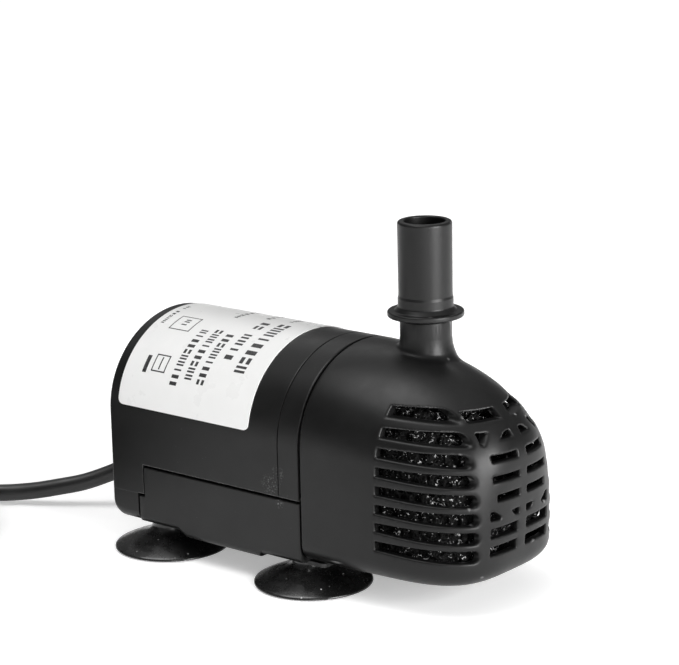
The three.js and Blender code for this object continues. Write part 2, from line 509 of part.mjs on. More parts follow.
const lead = [[-55.6, 2, 12], [-60, 2, 12], [-65.2, 2, 11.9], [-70, 0.4, 10.0], [-74.8, -2.7, 7.5], [-79.9, -6.4, 5.3], [-85.1, -9.9, 4.0], [-89.2, -12.4, 3.1],
  [-93.2, -14.8, 2.5], [-97.2, -17.5, 2.25], [-103.5, -20.8, 2.2], [-110.5, -24.3, 2.4]].map(p => new THREE.Vector3(...p));
const coil = coilPath();
{
  const sect = (sides) => {
    const o = [];
    for (let i = 0; i < sides; i++) { const a = (i / sides) * 2 * Math.PI; o.push(new THREE.Vector2((CORD_D / 2) * Math.cos(a), (CORD_D / 2) * Math.sin(a))); }
    return new THREE.Shape(o);
  };
  const ringSolid = (e) => solid(latheZ([[15.3 - e, 0.75 - e], [28.8 + e, 0.75 - e], [28.8 + e, COIL_TOP + e], [15.3 - e, COIL_TOP + e], [15.3 - e, 0.75 - e]], COIL_C[0], COIL_C[1], 36));
  const path1 = new THREE.CatmullRomCurve3([...lead.slice(3), ...coil.P.slice(0, 3)].concat([]), false, 'centripetal');
  const start = [new THREE.Vector3(-65.2, 2, 11.95), new THREE.Vector3(-67.5, 1.4, 11.25)];
  const p1 = new THREE.CatmullRomCurve3([...start, ...path1.points], false, 'centripetal');
  let tube = solid(new THREE.ExtrudeGeometry(sect(8), { steps: 26, extrudePath: p1, bevelEnabled: false }));
  tube = cut(tube, ringSolid(0.3), box(-64.9 - GAP, 0, -50, 50, -5, 50));
  piece('power_lead', tube, 'rubber');
  piece('lead_coil', geometry(ringSolid(0)), 'rubber');
  // tail from the coil to the plug
  const tail = coil.P.slice(coil.inCoil - 3);
  const dir = new THREE.Vector3(-Math.sin(coil.th), Math.cos(coil.th), 0);
  const end = tail[tail.length - 1].clone();
  const plugAt = end.clone().addScaledVector(dir, 3);
  plugAt.z = PLUG_Z;
  const p2 = new THREE.CatmullRomCurve3([...tail, plugAt.clone()], false, 'centripetal');
  let t2 = solid(new THREE.ExtrudeGeometry(sect(8), { steps: 12, extrudePath: p2, bevelEnabled: false }));
  t2 = cut(t2, ringSolid(0.3));
  const frame = new THREE.Matrix4().makeBasis(dir, new THREE.Vector3(-dir.y, dir.x, 0), new THREE.Vector3(0, 0, 1)).setPosition(plugAt);
  const along = (g) => g.applyMatrix4(frame);
  t2 = cut(t2, solid(along(boxG(-GAP, 30, -10, 10, -10, 10))));
  const bits = t2.decompose();
  bits.sort((a, b) => b.volume() - a.volume());
  piece('lead_tail', bits[0], 'rubber');
  piece('plug_boot', along(latheX([[0, 0], [2.6, 0], [3.1, 6], [3.4, 6], [3.6, 7.5], [0, 7.5]], 0, 0, 14)), 'rubber');
  piece('plug_body', along(latheX([[0, 7.8], [4.3, 7.8], [4.8, 8.6], [4.8, 24.5], [4.3, 25.4], [0, 25.4]], 0, 0, 18)), 'rubber');
  piece('plug_barrel', along(latheX([[1.25, 25.7], [2.75, 25.7], [2.75, 34.6], [2.5, 35.2], [1.25, 35.2], [1.25, 25.7]], 0, 0, 16)), 'steel');
  // tie round the winding
  const a = THREE.MathUtils.degToRad(-29);
  const tie = new THREE.Shape([[14.0, 0], [29.6, 0], [29.6, 22.1], [14.0, 22.1]].map(p => new THREE.Vector2(...p)));
  tie.holes.push(new THREE.Path([[14.5, 0.45], [14.5, 21.6], [29.1, 21.6], [29.1, 0.45]].map(p => new THREE.Vector2(...p))));
  const tg = new THREE.ExtrudeGeometry(tie, { depth: 7, bevelEnabled: false, steps: 1 }).translate(0, 0, -3.5);
  tg.applyMatrix4(new THREE.Matrix4().makeBasis(new THREE.Vector3(Math.cos(a), Math.sin(a), 0), new THREE.Vector3(0, 0, 1), new THREE.Vector3(Math.sin(a), -Math.cos(a), 0)).setPosition(COIL_C[0], COIL_C[1], 0));
  piece('lead_tie', tg, 'rubber');
}

const group = new THREE.Group();
parts.forEach(m => group.add(m));
group.position.x = SHIFT_X;
group.updateMatrixWorld(true);
export default group;
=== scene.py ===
import math
import bpy
import numpy as np
from mathutils import Matrix, Vector


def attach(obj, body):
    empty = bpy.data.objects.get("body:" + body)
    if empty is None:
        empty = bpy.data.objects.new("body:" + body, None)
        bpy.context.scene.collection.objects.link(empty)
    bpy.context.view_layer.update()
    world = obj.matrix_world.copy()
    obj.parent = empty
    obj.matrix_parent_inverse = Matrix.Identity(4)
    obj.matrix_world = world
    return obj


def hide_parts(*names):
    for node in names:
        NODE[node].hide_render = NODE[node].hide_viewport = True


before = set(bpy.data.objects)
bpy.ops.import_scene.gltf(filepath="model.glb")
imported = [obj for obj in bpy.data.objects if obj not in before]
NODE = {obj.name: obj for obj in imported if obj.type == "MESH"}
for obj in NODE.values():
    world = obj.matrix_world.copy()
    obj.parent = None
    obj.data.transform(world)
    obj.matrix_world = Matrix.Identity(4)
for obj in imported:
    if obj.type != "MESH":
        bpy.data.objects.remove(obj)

scene = bpy.context.scene
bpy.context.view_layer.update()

SHIFT_X = 7.385


def put(p):
    return ((p[0] + SHIFT_X) / 1000.0, p[1] / 1000.0, p[2] / 1000.0)


# ------------------------------------------------------------- camera, floor
AZ, EL, ROLL = math.radians(39.926), math.radians(13.935), math.radians(-1.265)
back = Vector((math.sin(AZ) * math.cos(EL), -math.cos(AZ) * math.cos(EL), math.sin(EL)))
right = Vector((math.cos(AZ), math.sin(AZ), 0.0))
up = back.cross(right)
R = math.cos(ROLL) * right + math.sin(ROLL) * up
U = -math.sin(ROLL) * right + math.cos(ROLL) * up
cam_data = bpy.data.cameras.new("camera")
cam_data.sensor_width = 36.0
cam_data.lens = 2466.067 / 679.0 * 36.0
cam_data.clip_start, cam_data.clip_end = 0.02, 30.0
cam = bpy.data.objects.new("camera", cam_data)
scene.collection.objects.link(cam)
m = Matrix((R, U, back)).transposed().to_4x4()
m.translation = Vector((327.515, -390.523, 176.643)) / 1000.0
cam.matrix_world = m
scene.camera = cam

# --------------------------------------------------------------- materials
def srgb(*c):
    c = c * 3 if len(c) == 1 else c
    return tuple((v / 255 / 12.92) if v / 255 <= 0.04045 else ((v / 255 + 0.055) / 1.055) ** 2.4 for v in c) + (1.0,)


class Mat:
    """A Principled material with its nodes; every lookup is in object metres."""

    def __init__(self, name, colour, rough, metal=0.0, spec=0.5, coat=0.0, coat_rough=0.1, ior=1.5):
        self.m = bpy.data.materials.new(name)
        self.m.use_nodes = True
        self.t = self.m.node_tree
        self.b = self.t.nodes["Principled BSDF"]
        i = self.b.inputs
        i["Base Color"].default_value = colour
        i["Roughness"].default_value = rough
        i["Metallic"].default_value = metal
        i["Specular IOR Level"].default_value = spec
        i["IOR"].default_value = ior
        if coat:
            i["Coat Weight"].default_value = coat
            i["Coat Roughness"].default_value = coat_rough
        self.co = self.node("ShaderNodeTexCoord").outputs["Object"]
        self.colour = colour
        self.m.diffuse_color = colour

    def node(self, kind, **kw):
        n = self.t.nodes.new(kind)
        for k, v in kw.items():
            setattr(n, k, v)
        return n

    def link(self, a, b):
        self.t.links.new(a, b)

    def noise(self, scale, detail=3.0, rough=0.55, distort=0.0, co=None):
        n = self.node("ShaderNodeTexNoise")
        self.link(co or self.co, n.inputs["Vector"])
        n.inputs["Scale"].default_value = scale
        n.inputs["Detail"].default_value = detail
        n.inputs["Roughness"].default_value = rough
        n.inputs["Distortion"].default_value = distort
        return n.outputs["Fac"]

    def voronoi(self, scale, feature="F1", out="Distance", rand=1.0, co=None):
        n = self.node("ShaderNodeTexVoronoi", feature=feature)
        self.link(co or self.co, n.inputs["Vector"])
        n.inputs["Scale"].default_value = scale
        n.inputs["Randomness"].default_value = rand
        return n.outputs[out]

    def ramp(self, fac, *stops, interp="LINEAR"):
        n = self.node("ShaderNodeValToRGB")
        n.color_ramp.interpolation = interp
        e = n.color_ramp.elements
        while len(e) < len(stops):
            e.new(0.5)
        for el, (p, c) in zip(e, stops):
            el.position = p
            el.color = c if hasattr(c, "__len__") else (c, c, c, 1.0)
        self.link(fac, n.inputs["Fac"])
        return n.outputs["Color"]

    def math(self, op, a, b=None, clamp=False):
        n = self.node("ShaderNodeMath", operation=op)
        n.use_clamp = clamp
        for k, v in enumerate((a, b)):
            if v is None:
                continue
            if isinstance(v, (int, float)):
                n.inputs[k].default_value = v
            else:
                self.link(v, n.inputs[k])
        return n.outputs[0]

    def mix(self, fac, a, b):
        n = self.node("ShaderNodeMix", data_type="RGBA")
        self.link(fac, n.inputs["Factor"])
        for k, v in ((6, a), (7, b)):
            if isinstance(v, tuple):
                n.inputs[k].default_value = v
            else:
                self.link(v, n.inputs[k])
        return n.outputs[2]

    def bump(self, height, strength, dist_mm, normal=None):
        n = self.node("ShaderNodeBump")
        n.inputs["Strength"].default_value = strength
        n.inputs["Distance"].default_value = dist_mm / 1000.0
        self.link(height, n.inputs["Height"])
        if normal is not None:
            self.link(normal, n.inputs["Normal"])
        self.link(n.outputs["Normal"], self.b.inputs["Normal"])
        return n.outputs["Normal"]

    def set(self, socket, value):
        self.link(value, self.b.inputs[socket])

    def tone(self, base, lo_=0.86, hi_=1.14, scale=90.0, detail=4.0):
        c0 = tuple(v * lo_ for v in base[:3]) + (1.0,)
        c1 = tuple(v * hi_ for v in base[:3]) + (1.0,)
        return self.ramp(self.noise(scale, detail), (0.3, c0), (0.7, c1))


def plastic(name, colour, rough, spec=0.5, grain=5200.0, gstrength=0.10, rvar=0.06, edge=None, scuffs=None, coat=0.0, dust=0.0):
    m = Mat(name, colour, rough, spec=spec, coat=coat, coat_rough=0.25)
    col = m.tone(colour)
    if edge:
        # Sharp edges, found by pointiness, are lighter in patches: partly rubbed wear, partly a painted highlight along
        # the rims.
        g = m.node("ShaderNodeNewGeometry")
        edge_wear_and_highlight = m.ramp(g.outputs["Pointiness"], (edge[1], 0.0), (edge[2], 1.0))
        edge_wear_and_highlight = m.math("MULTIPLY", edge_wear_and_highlight, m.ramp(m.noise(420.0, 4.0), (0.35, 0.35), (0.65, 1.0)))
        col = m.mix(edge_wear_and_highlight, col, edge[0])
    if dust:
        d = m.ramp(m.voronoi(620.0), (0.05, 1.0), (0.085, 0.0))
        d = m.math("MULTIPLY", d, m.ramp(m.noise(70.0, 3.0), (0.52, 0.0), (0.66, dust)))
        col = m.mix(d, col, srgb(190))
    if scuffs:
        for c, r, amount in scuffs:
            v = m.node("ShaderNodeVectorMath", operation="DISTANCE")
            m.link(m.co, v.inputs[0])
            v.inputs[1].default_value = put(c)
            near = m.ramp(m.math("DIVIDE", v.outputs["Value"], r / 1000.0), (0.35, 1.0), (1.0, 0.0))
            fine = m.ramp(m.noise(2600.0, 5.0, 0.7), (0.54, 0.0), (0.62, 1.0))
            col = m.mix(m.math("MULTIPLY", m.math("MULTIPLY", near, fine), amount), col, srgb(168))
    m.set("Base Color", col)
    r0, r1 = max(0.02, rough - rvar), rough + rvar
    m.set("Roughness", m.ramp(m.noise(240.0, 6.0, 0.6), (0.25, r0), (0.75, r1)))
    n = m.bump(m.noise(grain, 2.0, 0.5), gstrength, 0.03)
    m.bump(m.noise(170.0, 3.0, 0.5), 0.05, 0.12, n)
    return m.m


def metal(name, colour, rough, brushed=(1, 1, 1), scale=900.0, strength=0.08):
    m = Mat(name, colour, rough, metal=1.0)
    mp = m.node("ShaderNodeMapping")
    mp.inputs["Scale"].default_value = brushed
    m.link(m.co, mp.inputs["Vector"])
    m.set("Base Color", m.tone(colour, 0.85, 1.1, 260.0))
    f = m.noise(scale, 5.0, 0.65, co=mp.outputs["Vector"])
    m.set("Roughness", m.ramp(f, (0.3, max(0.03, rough - 0.1)), (0.7, rough + 0.12)))
    m.bump(f, strength, 0.03)
    return m.m


# Edge colours: on the cover a painted highlight along the slot rims; on the shell and nozzle partly rubbed wear, partly
# painted highlight.
M_SHELL = plastic("shell", srgb(17), 0.37, spec=0.30, dust=0.06, edge=(srgb(96), 0.55, 0.68),
                  scuffs=[((-8.0, -22.1, 21.6), 3.0, 0.2), ((-5.6, -22.1, 18.2), 1.3, 0.55), ((-6.0, -22.1, 24.5), 2.2, 0.16)])
M_COVER = plastic("cover", srgb(15), 0.37, spec=0.29, edge=(srgb(116), 0.545, 0.65))
M_NOZZLE = plastic("nozzle", srgb(15), 0.37, spec=0.34, edge=(srgb(80), 0.56, 0.70))
M_INNER = plastic("inner_shell", srgb(40), 0.5, grain=3800.0)
M_NYLON = plastic("nylon", srgb(214, 213, 206), 0.42, grain=4200.0)
M_EPOXY = plastic("epoxy", srgb(28), 0.32, grain=1500.0, gstrength=0.2)
M_LEAD = plastic("lead", srgb(26), 0.42, spec=0.5, grain=2600.0, gstrength=0.12, rvar=0.08)
M_CERAMIC = plastic("ceramic", srgb(232, 229, 220), 0.22, grain=6000.0, gstrength=0.04)
M_MAGNET = plastic("magnet", srgb(58, 58, 61), 0.5, grain=2200.0, gstrength=0.3)
M_STEEL = metal("steel", srgb(176, 178, 181), 0.3)
M_COPPER = metal("copper", srgb(196, 118, 66), 0.32, (60, 1, 1), 420.0, 0.5)
M_LAMINATION = metal("lamination", srgb(150, 152, 155), 0.42, (14, 0.4, 0.4), 520.0, 0.5)

# Rubber of the cups: glossy, with fine dust and a few bright specks.
_m = Mat("rubber", srgb(15), 0.24, spec=0.5, coat=0.18, coat_rough=0.10)
_c = _m.tone(srgb(17), 0.7, 1.4, 260.0)
_d = _m.ramp(_m.voronoi(520.0), (0.07, 1.0), (0.12, 0.0))
_d = _m.math("MULTIPLY", _d, _m.ramp(_m.noise(110.0, 4.0, 0.6), (0.5, 0.0), (0.62, 0.8)))
_m.set("Base Color", _m.mix(_d, _c, srgb(205)))
_m.set("Roughness", _m.ramp(_m.noise(300.0, 6.0, 0.65), (0.3, 0.16), (0.75, 0.42)))
_n = _m.bump(_m.noise(1400.0, 4.0, 0.6), 0.12, 0.05)
_m.bump(_m.noise(210.0, 2.0), 0.22, 0.25, _n)
M_RUBBER = _m.m

# Open-cell foam: dark cell walls; short strands painted light as glints (painted highlight), and the cells painted
# darker towards their centres (painted shade).
_m = Mat("foam", srgb(12), 0.6, spec=0.10)
_w = _m.noise(380.0, 2.0)
_mp = _m.node("ShaderNodeVectorMath", operation="ADD")
_sc = _m.node("ShaderNodeVectorMath", operation="SCALE")
_nc = _m.node("ShaderNodeTexNoise")
_m.link(_m.co, _nc.inputs["Vector"])
_nc.inputs["Scale"].default_value = 700.0
_m.link(_nc.outputs["Color"], _sc.inputs[0])
_sc.inputs["Scale"].default_value = 0.0011
_m.link(_m.co, _mp.inputs[0])
_m.link(_sc.outputs[0], _mp.inputs[1])
_e = _m.voronoi(1250.0, "DISTANCE_TO_EDGE", co=_mp.outputs[0])
_strand = _m.ramp(_e, (0.02, 1.0), (0.11, 0.0))
_part = _m.ramp(_m.noise(900.0, 3.0, 0.65), (0.575, 0.0), (0.625, 1.0))
_painted_glint = _m.math("MULTIPLY", _strand, _part)
# Base colour: painted highlight on part of the strands, painted shade deepening towards the pore centres.
_m.set("Base Color", _m.mix(_painted_glint, _m.ramp(_e, (0.0, srgb(20)), (0.3, srgb(3))), srgb(222)))
_m.set("Roughness", _m.ramp(_painted_glint, (0.0, 0.6), (1.0, 0.25)))
_m.bump(_e, 0.9, 0.5)
M_FOAM = _m.m

# Circuit board: green mask with copper-toned tracks.
_m = Mat("board", srgb(24, 84, 48), 0.38, spec=0.5)
_t = _m.ramp(_m.voronoi(330.0, "DISTANCE_TO_EDGE"), (0.03, 1.0), (0.06, 0.0))
_m.set("Base Color", _m.mix(_t, _m.tone(srgb(24, 84, 48)), srgb(60, 128, 70)))
_m.set("Roughness", _m.ramp(_m.noise(500.0), (0.3, 0.3), (0.7, 0.5)))
_m.bump(_t, 0.3, 0.05)
M_BOARD = _m.m

# Floor: plain white card.
_m = Mat("floor", (0.95, 0.95, 0.95, 1.0), 0.9, spec=0.05)
_m.set("Base Color", _m.ramp(_m.noise(9.0), (0.3, (0.945, 0.945, 0.945, 1)), (0.7, (0.955, 0.955, 0.955, 1))))
_m.b.inputs["Emission Color"].default_value = (1, 1, 1, 1)
_m.b.inputs["Emission Strength"].default_value = 0.35
M_FLOOR = _m.m

# ---------------------------------------------------------------- the lead
CORD_D = 4.0
COIL_C = (-105.6, -51.7)
COIL_RO, COIL_RI, COIL_PITCH, COIL_Z = 26.7, 17.4, 4.1, 2.8
COIL_TURNS, PLUG_Z = 2.0869, 26.4


def lead_points():
    pts = [(-55.6, 2, 12), (-60, 2, 12), (-65.2, 2, 11.9), (-70, 0.4, 10.0), (-74.8, -2.7, 7.5), (-79.9, -6.4, 5.3),
           (-85.1, -9.9, 4.0), (-89.2, -12.4, 3.1), (-93.2, -14.8, 2.5), (-97.2, -17.5, 2.25), (-103.5, -20.8, 2.2),
           (-110.5, -24.3, 2.4)]
    st = {"th": math.radians(116.9), "z": COIL_Z, "r": COIL_RO}

    def add():
        pts.append((COIL_C[0] + st["r"] * math.cos(st["th"]), COIL_C[1] + st["r"] * math.sin(st["th"]), st["z"]))

    def run(turns, r1, z1, n):
        a, rr, zz = st["th"], st["r"], st["z"]
        for i in range(1, n + 1):
            u = i / n
            s = u * u * (3 - 2 * u)
            st["th"] = a + u * turns * 2 * math.pi
            st["r"] = rr + (r1 - rr) * u
            st["z"] = zz + (z1 - zz) * s
            add()

    add()
    for k in range(5):
        run(COIL_TURNS, COIL_RO if k % 2 else COIL_RI, st["z"], 46)
        if k < 4:
            run(0.3, st["r"], st["z"] + COIL_PITCH, 8)
    run(0.3, st["r"], 23.65, 8)
    run(0.3, 26, 25.0, 10)
    th, r = st["th"], st["r"]
    m = (COIL_C[0] + (r - 16) * math.cos(th), COIL_C[1] + (r - 16) * math.sin(th))
    for i in range(1, 7):
        t = th + i / 6 * (math.pi / 3)
        pts.append((m[0] + 16 * math.cos(t), m[1] + 16 * math.sin(t), 25.0 + (PLUG_Z - 25.0) * i / 6))
    th += math.pi / 3
    d = (-math.sin(th), math.cos(th), 0.0)
    e = pts[-1]
    plug = (e[0] + 3 * d[0], e[1] + 3 * d[1], PLUG_Z)
    pts.append(plug)
    return pts, plug, d


def smooth_path(pts, step):
    """Centripetal Catmull-Rom through pts, resampled about every step."""
    P = np.array(pts, float)
    P = np.vstack([2 * P[0] - P[1], P, 2 * P[-1] - P[-2]])
    out = []
    for i in range(1, len(P) - 2):
        p0, p1, p2, p3 = P[i - 1], P[i], P[i + 1], P[i + 2]
        t = [0.0]
        for a, b in ((p0, p1), (p1, p2), (p2, p3)):
            t.append(t[-1] + max(1e-6, np.linalg.norm(b - a)) ** 0.5)
        n = max(2, int(math.ceil(np.linalg.norm(p2 - p1) / step)))
        for k in range(n):
            u = t[1] + (t[2] - t[1]) * k / n
            a1 = (t[1] - u) / (t[1] - t[0]) * p0 + (u - t[0]) / (t[1] - t[0]) * p1
            a2 = (t[2] - u) / (t[2] - t[1]) * p1 + (u - t[1]) / (t[2] - t[1]) * p2
            a3 = (t[3] - u) / (t[3] - t[2]) * p2 + (u - t[2]) / (t[3] - t[2]) * p3
            b1 = (t[2] - u) / (t[2] - t[0]) * a1 + (u - t[0]) / (t[2] - t[0]) * a2
            b2 = (t[3] - u) / (t[3] - t[1]) * a2 + (u - t[1]) / (t[3] - t[1]) * a3
            out.append((t[2] - u) / (t[2] - t[1]) * b1 + (u - t[1]) / (t[2] - t[1]) * b2)
    out.append(P[-2])
    return np.array(out)


LEAD, PLUG_AT, PLUG_DIR = lead_points()
line = smooth_path(LEAD, 1.6)
cord_curve = bpy.data.curves.new("lead_cord", "CURVE")
cord_curve.dimensions = "3D"
cord_curve.bevel_depth = CORD_D / 2000.0
cord_curve.bevel_resolution = 3
cord_curve.use_fill_caps = True
sp = cord_curve.splines.new("POLY")
sp.points.add(len(line) - 1)
for q, p in zip(sp.points, line):
    q.co = (*put(p), 1.0)
cord_curve.materials.append(M_LEAD)
cord = bpy.data.objects.new("lead_cord", cord_curve)
scene.collection.objects.link(cord)
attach(cord, "housing")
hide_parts("power_lead", "lead_coil", "lead_tail")

# ------------------------------------------------------------ mesh helpers
def new_piece(name, verts, faces, body, mat, nodes=(), sharp=38.0, smooth=True):
    v = np.asarray(verts, float)
    co = np.empty_like(v)
    co[:, 0] = (v[:, 0] + SHIFT_X) / 1000.0
    co[:, 1:] = v[:, 1:] / 1000.0
    me = bpy.data.meshes.new(name)
    me.from_pydata(co.tolist(), [], [tuple(int(i) for i in f) for f in faces])
    me.validate()
    me.materials.append(mat)
    me.polygons.foreach_set("use_smooth", [smooth] * len(me.polygons))
    if smooth and sharp:
        me.set_sharp_from_angle(angle=math.radians(sharp))
    me.update()
    ob = bpy.data.objects.new(name, me)
    scene.collection.objects.link(ob)
    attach(ob, body)
    if nodes:
        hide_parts(*nodes)
    return ob


def fillet(poly, rad, seg=5, closed=False, hold=0.14):
    """Round the corners of a 2-D outline, with a support point beside each arc."""
    out, n = [], len(poly)
    for i in range(n):
        r = rad[i] if hasattr(rad, "__len__") else rad
        if r <= 0 or (not closed and i in (0, n - 1)):
            out.append(tuple(poly[i]))
            continue
        p0, p1, p2 = (np.array(poly[k % n], float) for k in (i - 1, i, i + 1))
        d1, d2 = p0 - p1, p2 - p1
        l1, l2 = np.linalg.norm(d1), np.linalg.norm(d2)
        if l1 < 1e-6 or l2 < 1e-6:
            out.append(tuple(p1))
            continue
        d1, d2 = d1 / l1, d2 / l2
        ang = math.acos(max(-1.0, min(1.0, float(d1 @ d2))))
        if ang > math.pi - 1e-3 or ang < 1e-3:
            out.append(tuple(p1))
            continue
        t = min(r / math.tan(ang / 2), 0.45 * l1, 0.45 * l2)
        re = t * math.tan(ang / 2)
        a, b = p1 + d1 * t, p1 + d2 * t
        c = p1 + (d1 + d2) / np.linalg.norm(d1 + d2) * (re / math.sin(ang / 2))
        a0 = math.atan2(*(a - c)[::-1])
        da = (math.atan2(*(b - c)[::-1]) - a0 + math.pi) % (2 * math.pi) - math.pi
        out.append(tuple(a + d1 * min(hold, 0.3 * (l1 - t))))
        out += [(c[0] + re * math.cos(a0 + da * k / seg), c[1] + re * math.sin(a0 + da * k / seg)) for k in range(seg + 1)]
        out.append(tuple(b + d2 * min(hold, 0.3 * (l2 - t))))
    return out


def lathe(prof, axis="Z", at=(0.0, 0.0), seg=96, ring=False):
    """Turn (r, h) about Z through (x, y) = at, or about X through (y, z) = at."""
    verts, faces, idx = [], [], []
    for r, h in prof:
        if r < 1e-6:
            idx.append([len(verts)])
            verts.append((at[0], at[1], h) if axis == "Z" else (h, at[0], at[1]))
            continue
        idx.append(list(range(len(verts), len(verts) + seg)))
        for k in range(seg):
            t = 2 * math.pi * k / seg
            a, b = at[0] + r * math.cos(t), at[1] + r * math.sin(t)
            verts.append((a, b, h) if axis == "Z" else (h, a, b))
    pairs = list(zip(idx, idx[1:])) + ([(idx[-1], idx[0])] if ring else [])
    for A, B in pairs:
        for k in range(seg):
            j = (k + 1) % seg
            if len(A) == 1 and len(B) == 1:
                continue
            if len(A) == 1:
                f = (A[0], B[j], B[k])
            elif len(B) == 1:
                f = (A[k], A[j], B[0])
            else:
                f = (A[k], A[j], B[j], B[k])
            faces.append(f if axis == "Z" else f)
    return verts, faces


def merge(*parts):
    verts, faces = [], []
    for v, f in parts:
        n = len(verts)
        verts += list(v)
        faces += [tuple(i + n for i in q) for q in f]
    return verts, faces


def loft(rings, cap0=True, cap1=True, loop=False):
    """Quads between equal closed rings, with flat caps."""
    k = len(rings[0])
    verts = [p for r in rings for p in r]
    faces = []
    m = len(rings) if loop else len(rings) - 1
    for i in range(m):
        a0, b0 = i * k, ((i + 1) % len(rings)) * k
        for j in range(k):
            j2 = (j + 1) % k
            faces.append((a0 + j, a0 + j2, b0 + j2, b0 + j))
    if not loop:
        if cap0:
            faces.append(tuple(range(k))[::-1])
        if cap1:
            e = (len(rings) - 1) * k
            faces.append(tuple(range(e, e + k)))
    return verts, faces


def tidy(ob, merge_mm=0.0004):
    """Weld coincident points, drop empty faces and turn the faces outwards."""
    import bmesh
    bm = bmesh.new()
    bm.from_mesh(ob.data)
    bmesh.ops.remove_doubles(bm, verts=bm.verts, dist=merge_mm / 1000.0)
    bmesh.ops.dissolve_degenerate(bm, dist=merge_mm / 1000.0, edges=bm.edges)
    bmesh.ops.recalc_face_normals(bm, faces=bm.faces)
    bm.to_mesh(ob.data)
    bm.free()
    ob.data.set_sharp_from_angle(angle=math.radians(38.0))
    ob.data.update()
    return ob


def surface_nets(f, origin, h):
    """Quad mesh of the zero level of f on a regular grid, negative inside."""
    shape = np.array(f.shape)
    cs = shape - 1
    inside = f < 0
    size = int(np.prod(cs))
    acc = np.zeros((3, size))
    cnt = np.zeros(size)
    edges = []
    for ax in range(3):
        lo_ = [slice(None)] * 3
        hi_ = [slice(None)] * 3
        lo_[ax], hi_[ax] = slice(0, -1), slice(1, None)
        idx = np.array(np.nonzero(inside[tuple(lo_)] != inside[tuple(hi_)]))
        b, c = [(1, 2), (2, 0), (0, 1)][ax]
        ok = (idx[b] > 0) & (idx[b] < shape[b] - 1) & (idx[c] > 0) & (idx[c] < shape[c] - 1)
        idx = idx[:, ok]
        nxt = idx.copy()
        nxt[ax] += 1
        f0, f1 = f[tuple(idx)], f[tuple(nxt)]
        t = f0 / (f0 - f1)
        pos = idx.astype(float)
        pos[ax] += t
        quad = []
        for db, dc in ((-1, -1), (0, -1), (0, 0), (-1, 0)):
            cell = idx.copy()
            cell[b] += db
            cell[c] += dc
            lin = (cell[0] * cs[1] + cell[1]) * cs[2] + cell[2]
            quad.append(lin)
            for k in range(3):
                acc[k] += np.bincount(lin, weights=pos[k], minlength=size)
            cnt += np.bincount(lin, minlength=size)
        q = np.stack(quad, 1)
        q[f0 > 0] = q[f0 > 0][:, ::-1]
        edges.append(q)
    used = np.nonzero(cnt)[0]
    remap = np.full(size, -1)
    remap[used] = np.arange(len(used))
    verts = (acc[:, used] / cnt[used]).T * np.asarray(h) + np.asarray(origin)
    return verts, remap[np.vstack(edges)]


def smax(a, b, k):
    d = np.clip(k - np.abs(a - b), 0, None)
    return np.maximum(a, b) + d * d / (4 * k)


def smin(a, b, k):
    return -smax(-a, -b, k)

# ---------------------------------------------------- dimensions of the body
HALF_W, ARCH_Z, ARCH_RISE = 22.08, 30.57, 19.43
REAR_X, COLLAR_X, SEAM = -54.87, -5.87, 0.15
SPLIT_Z, BASE_REAR_X, BASE_STEP_X, BASE_STEP_Z = 19.06, -45.0, -46.7, 12.4
TRAY_BOTTOM, PAD_Z, WALL, GAP, AXIS_Z = 4.9, 6.2, 2.0, 0.3, 29.2
CUP_X, CUP_Y, CUP_R = (-43.35, -2.32), 15.53, 12.7
NOSE_A, NOSE_ZM, NOSE_M, NOSE_BR, NOSE_TAP = 41.283, 29.83, 2.232, 4.62, 1.70
NOSE_N0, NOSE_N1, NOSE_ZK, NOSE_WK = 3.681, 1.655, 30.67, 8.0
NOSE_RB, NOSE_ZB, DROOP, COVER_T = 3.76, 6.3, 0.055, 1.8
SLOT_X0, ROW_Z0, ROW_PITCH = 20.19, 40.81, 3.873
OUT_X, OUT_Y, OUT_BORE = 14.06, 3.27, 3.1


def rake(x):
    return DROOP * np.where(x > 24, x - 20, np.where(x > 16, (x - 16) ** 2 / 16, 0.0))


def nose_inside(x, y, zs):
    z = zs + rake(x)
    zt = ARCH_Z + ARCH_RISE
    s = np.clip((z - ARCH_Z) / (zt - ARCH_Z), 0, 1)
    w_up = HALF_W * np.sqrt(1 - s ** 2)
    d = np.clip((NOSE_ZB + NOSE_RB - z) / NOSE_RB, 0, 1)
    w = np.where(z > ARCH_Z, w_up, HALF_W - NOSE_RB * (1 - np.sqrt(1 - d * d)))
    s = np.clip((z - NOSE_ZM) / (zt - NOSE_ZM), 0, 1)
    a_up = NOSE_A * (1 - s ** NOSE_M) ** (1 / NOSE_M)
    d = np.clip((NOSE_ZB + NOSE_BR - z) / NOSE_BR, 0, 1)
    a_lo = NOSE_A - NOSE_TAP * ((NOSE_ZM - z) / (NOSE_ZM - NOSE_ZB)) ** 2 - NOSE_BR * (1 - np.sqrt(1 - d * d))
    a = np.where(z > NOSE_ZM, a_up, a_lo)
    n = NOSE_N0 + (NOSE_N1 - NOSE_N0) / (1 + np.exp(-(z - NOSE_ZK) / NOSE_WK))
    w, a = np.maximum(w, 1e-6), np.maximum(a, 1e-6)
    with np.errstate(over="ignore"):
        g = (np.abs(y) / w) ** n + (np.maximum(x, 0) / a) ** n
    return (g < 1) & (z < zt) & (z > NOSE_ZB)


NC = np.array([8.0, 0.0, 28.6])
NA_, NB_ = 360, 720
_al = np.linspace(0, math.pi * 0.86, NA_)
_be = np.linspace(0, 2 * math.pi, NB_, endpoint=False)
_A, _B = np.meshgrid(_al, _be, indexing="ij")
_dx, _dy, _dz = np.cos(_A), np.sin(_A) * np.cos(_B), np.sin(_A) * np.sin(_B)
_lo, _hi = np.zeros_like(_A), np.full_like(_A, 90.0)
for _ in range(26):
    _m = (_lo + _hi) / 2
    _in = nose_inside(NC[0] + _m * _dx, _m * _dy, NC[2] + _m * _dz)
    _lo, _hi = np.where(_in, _m, _lo), np.where(_in, _hi, _m)
R_TAB = _lo
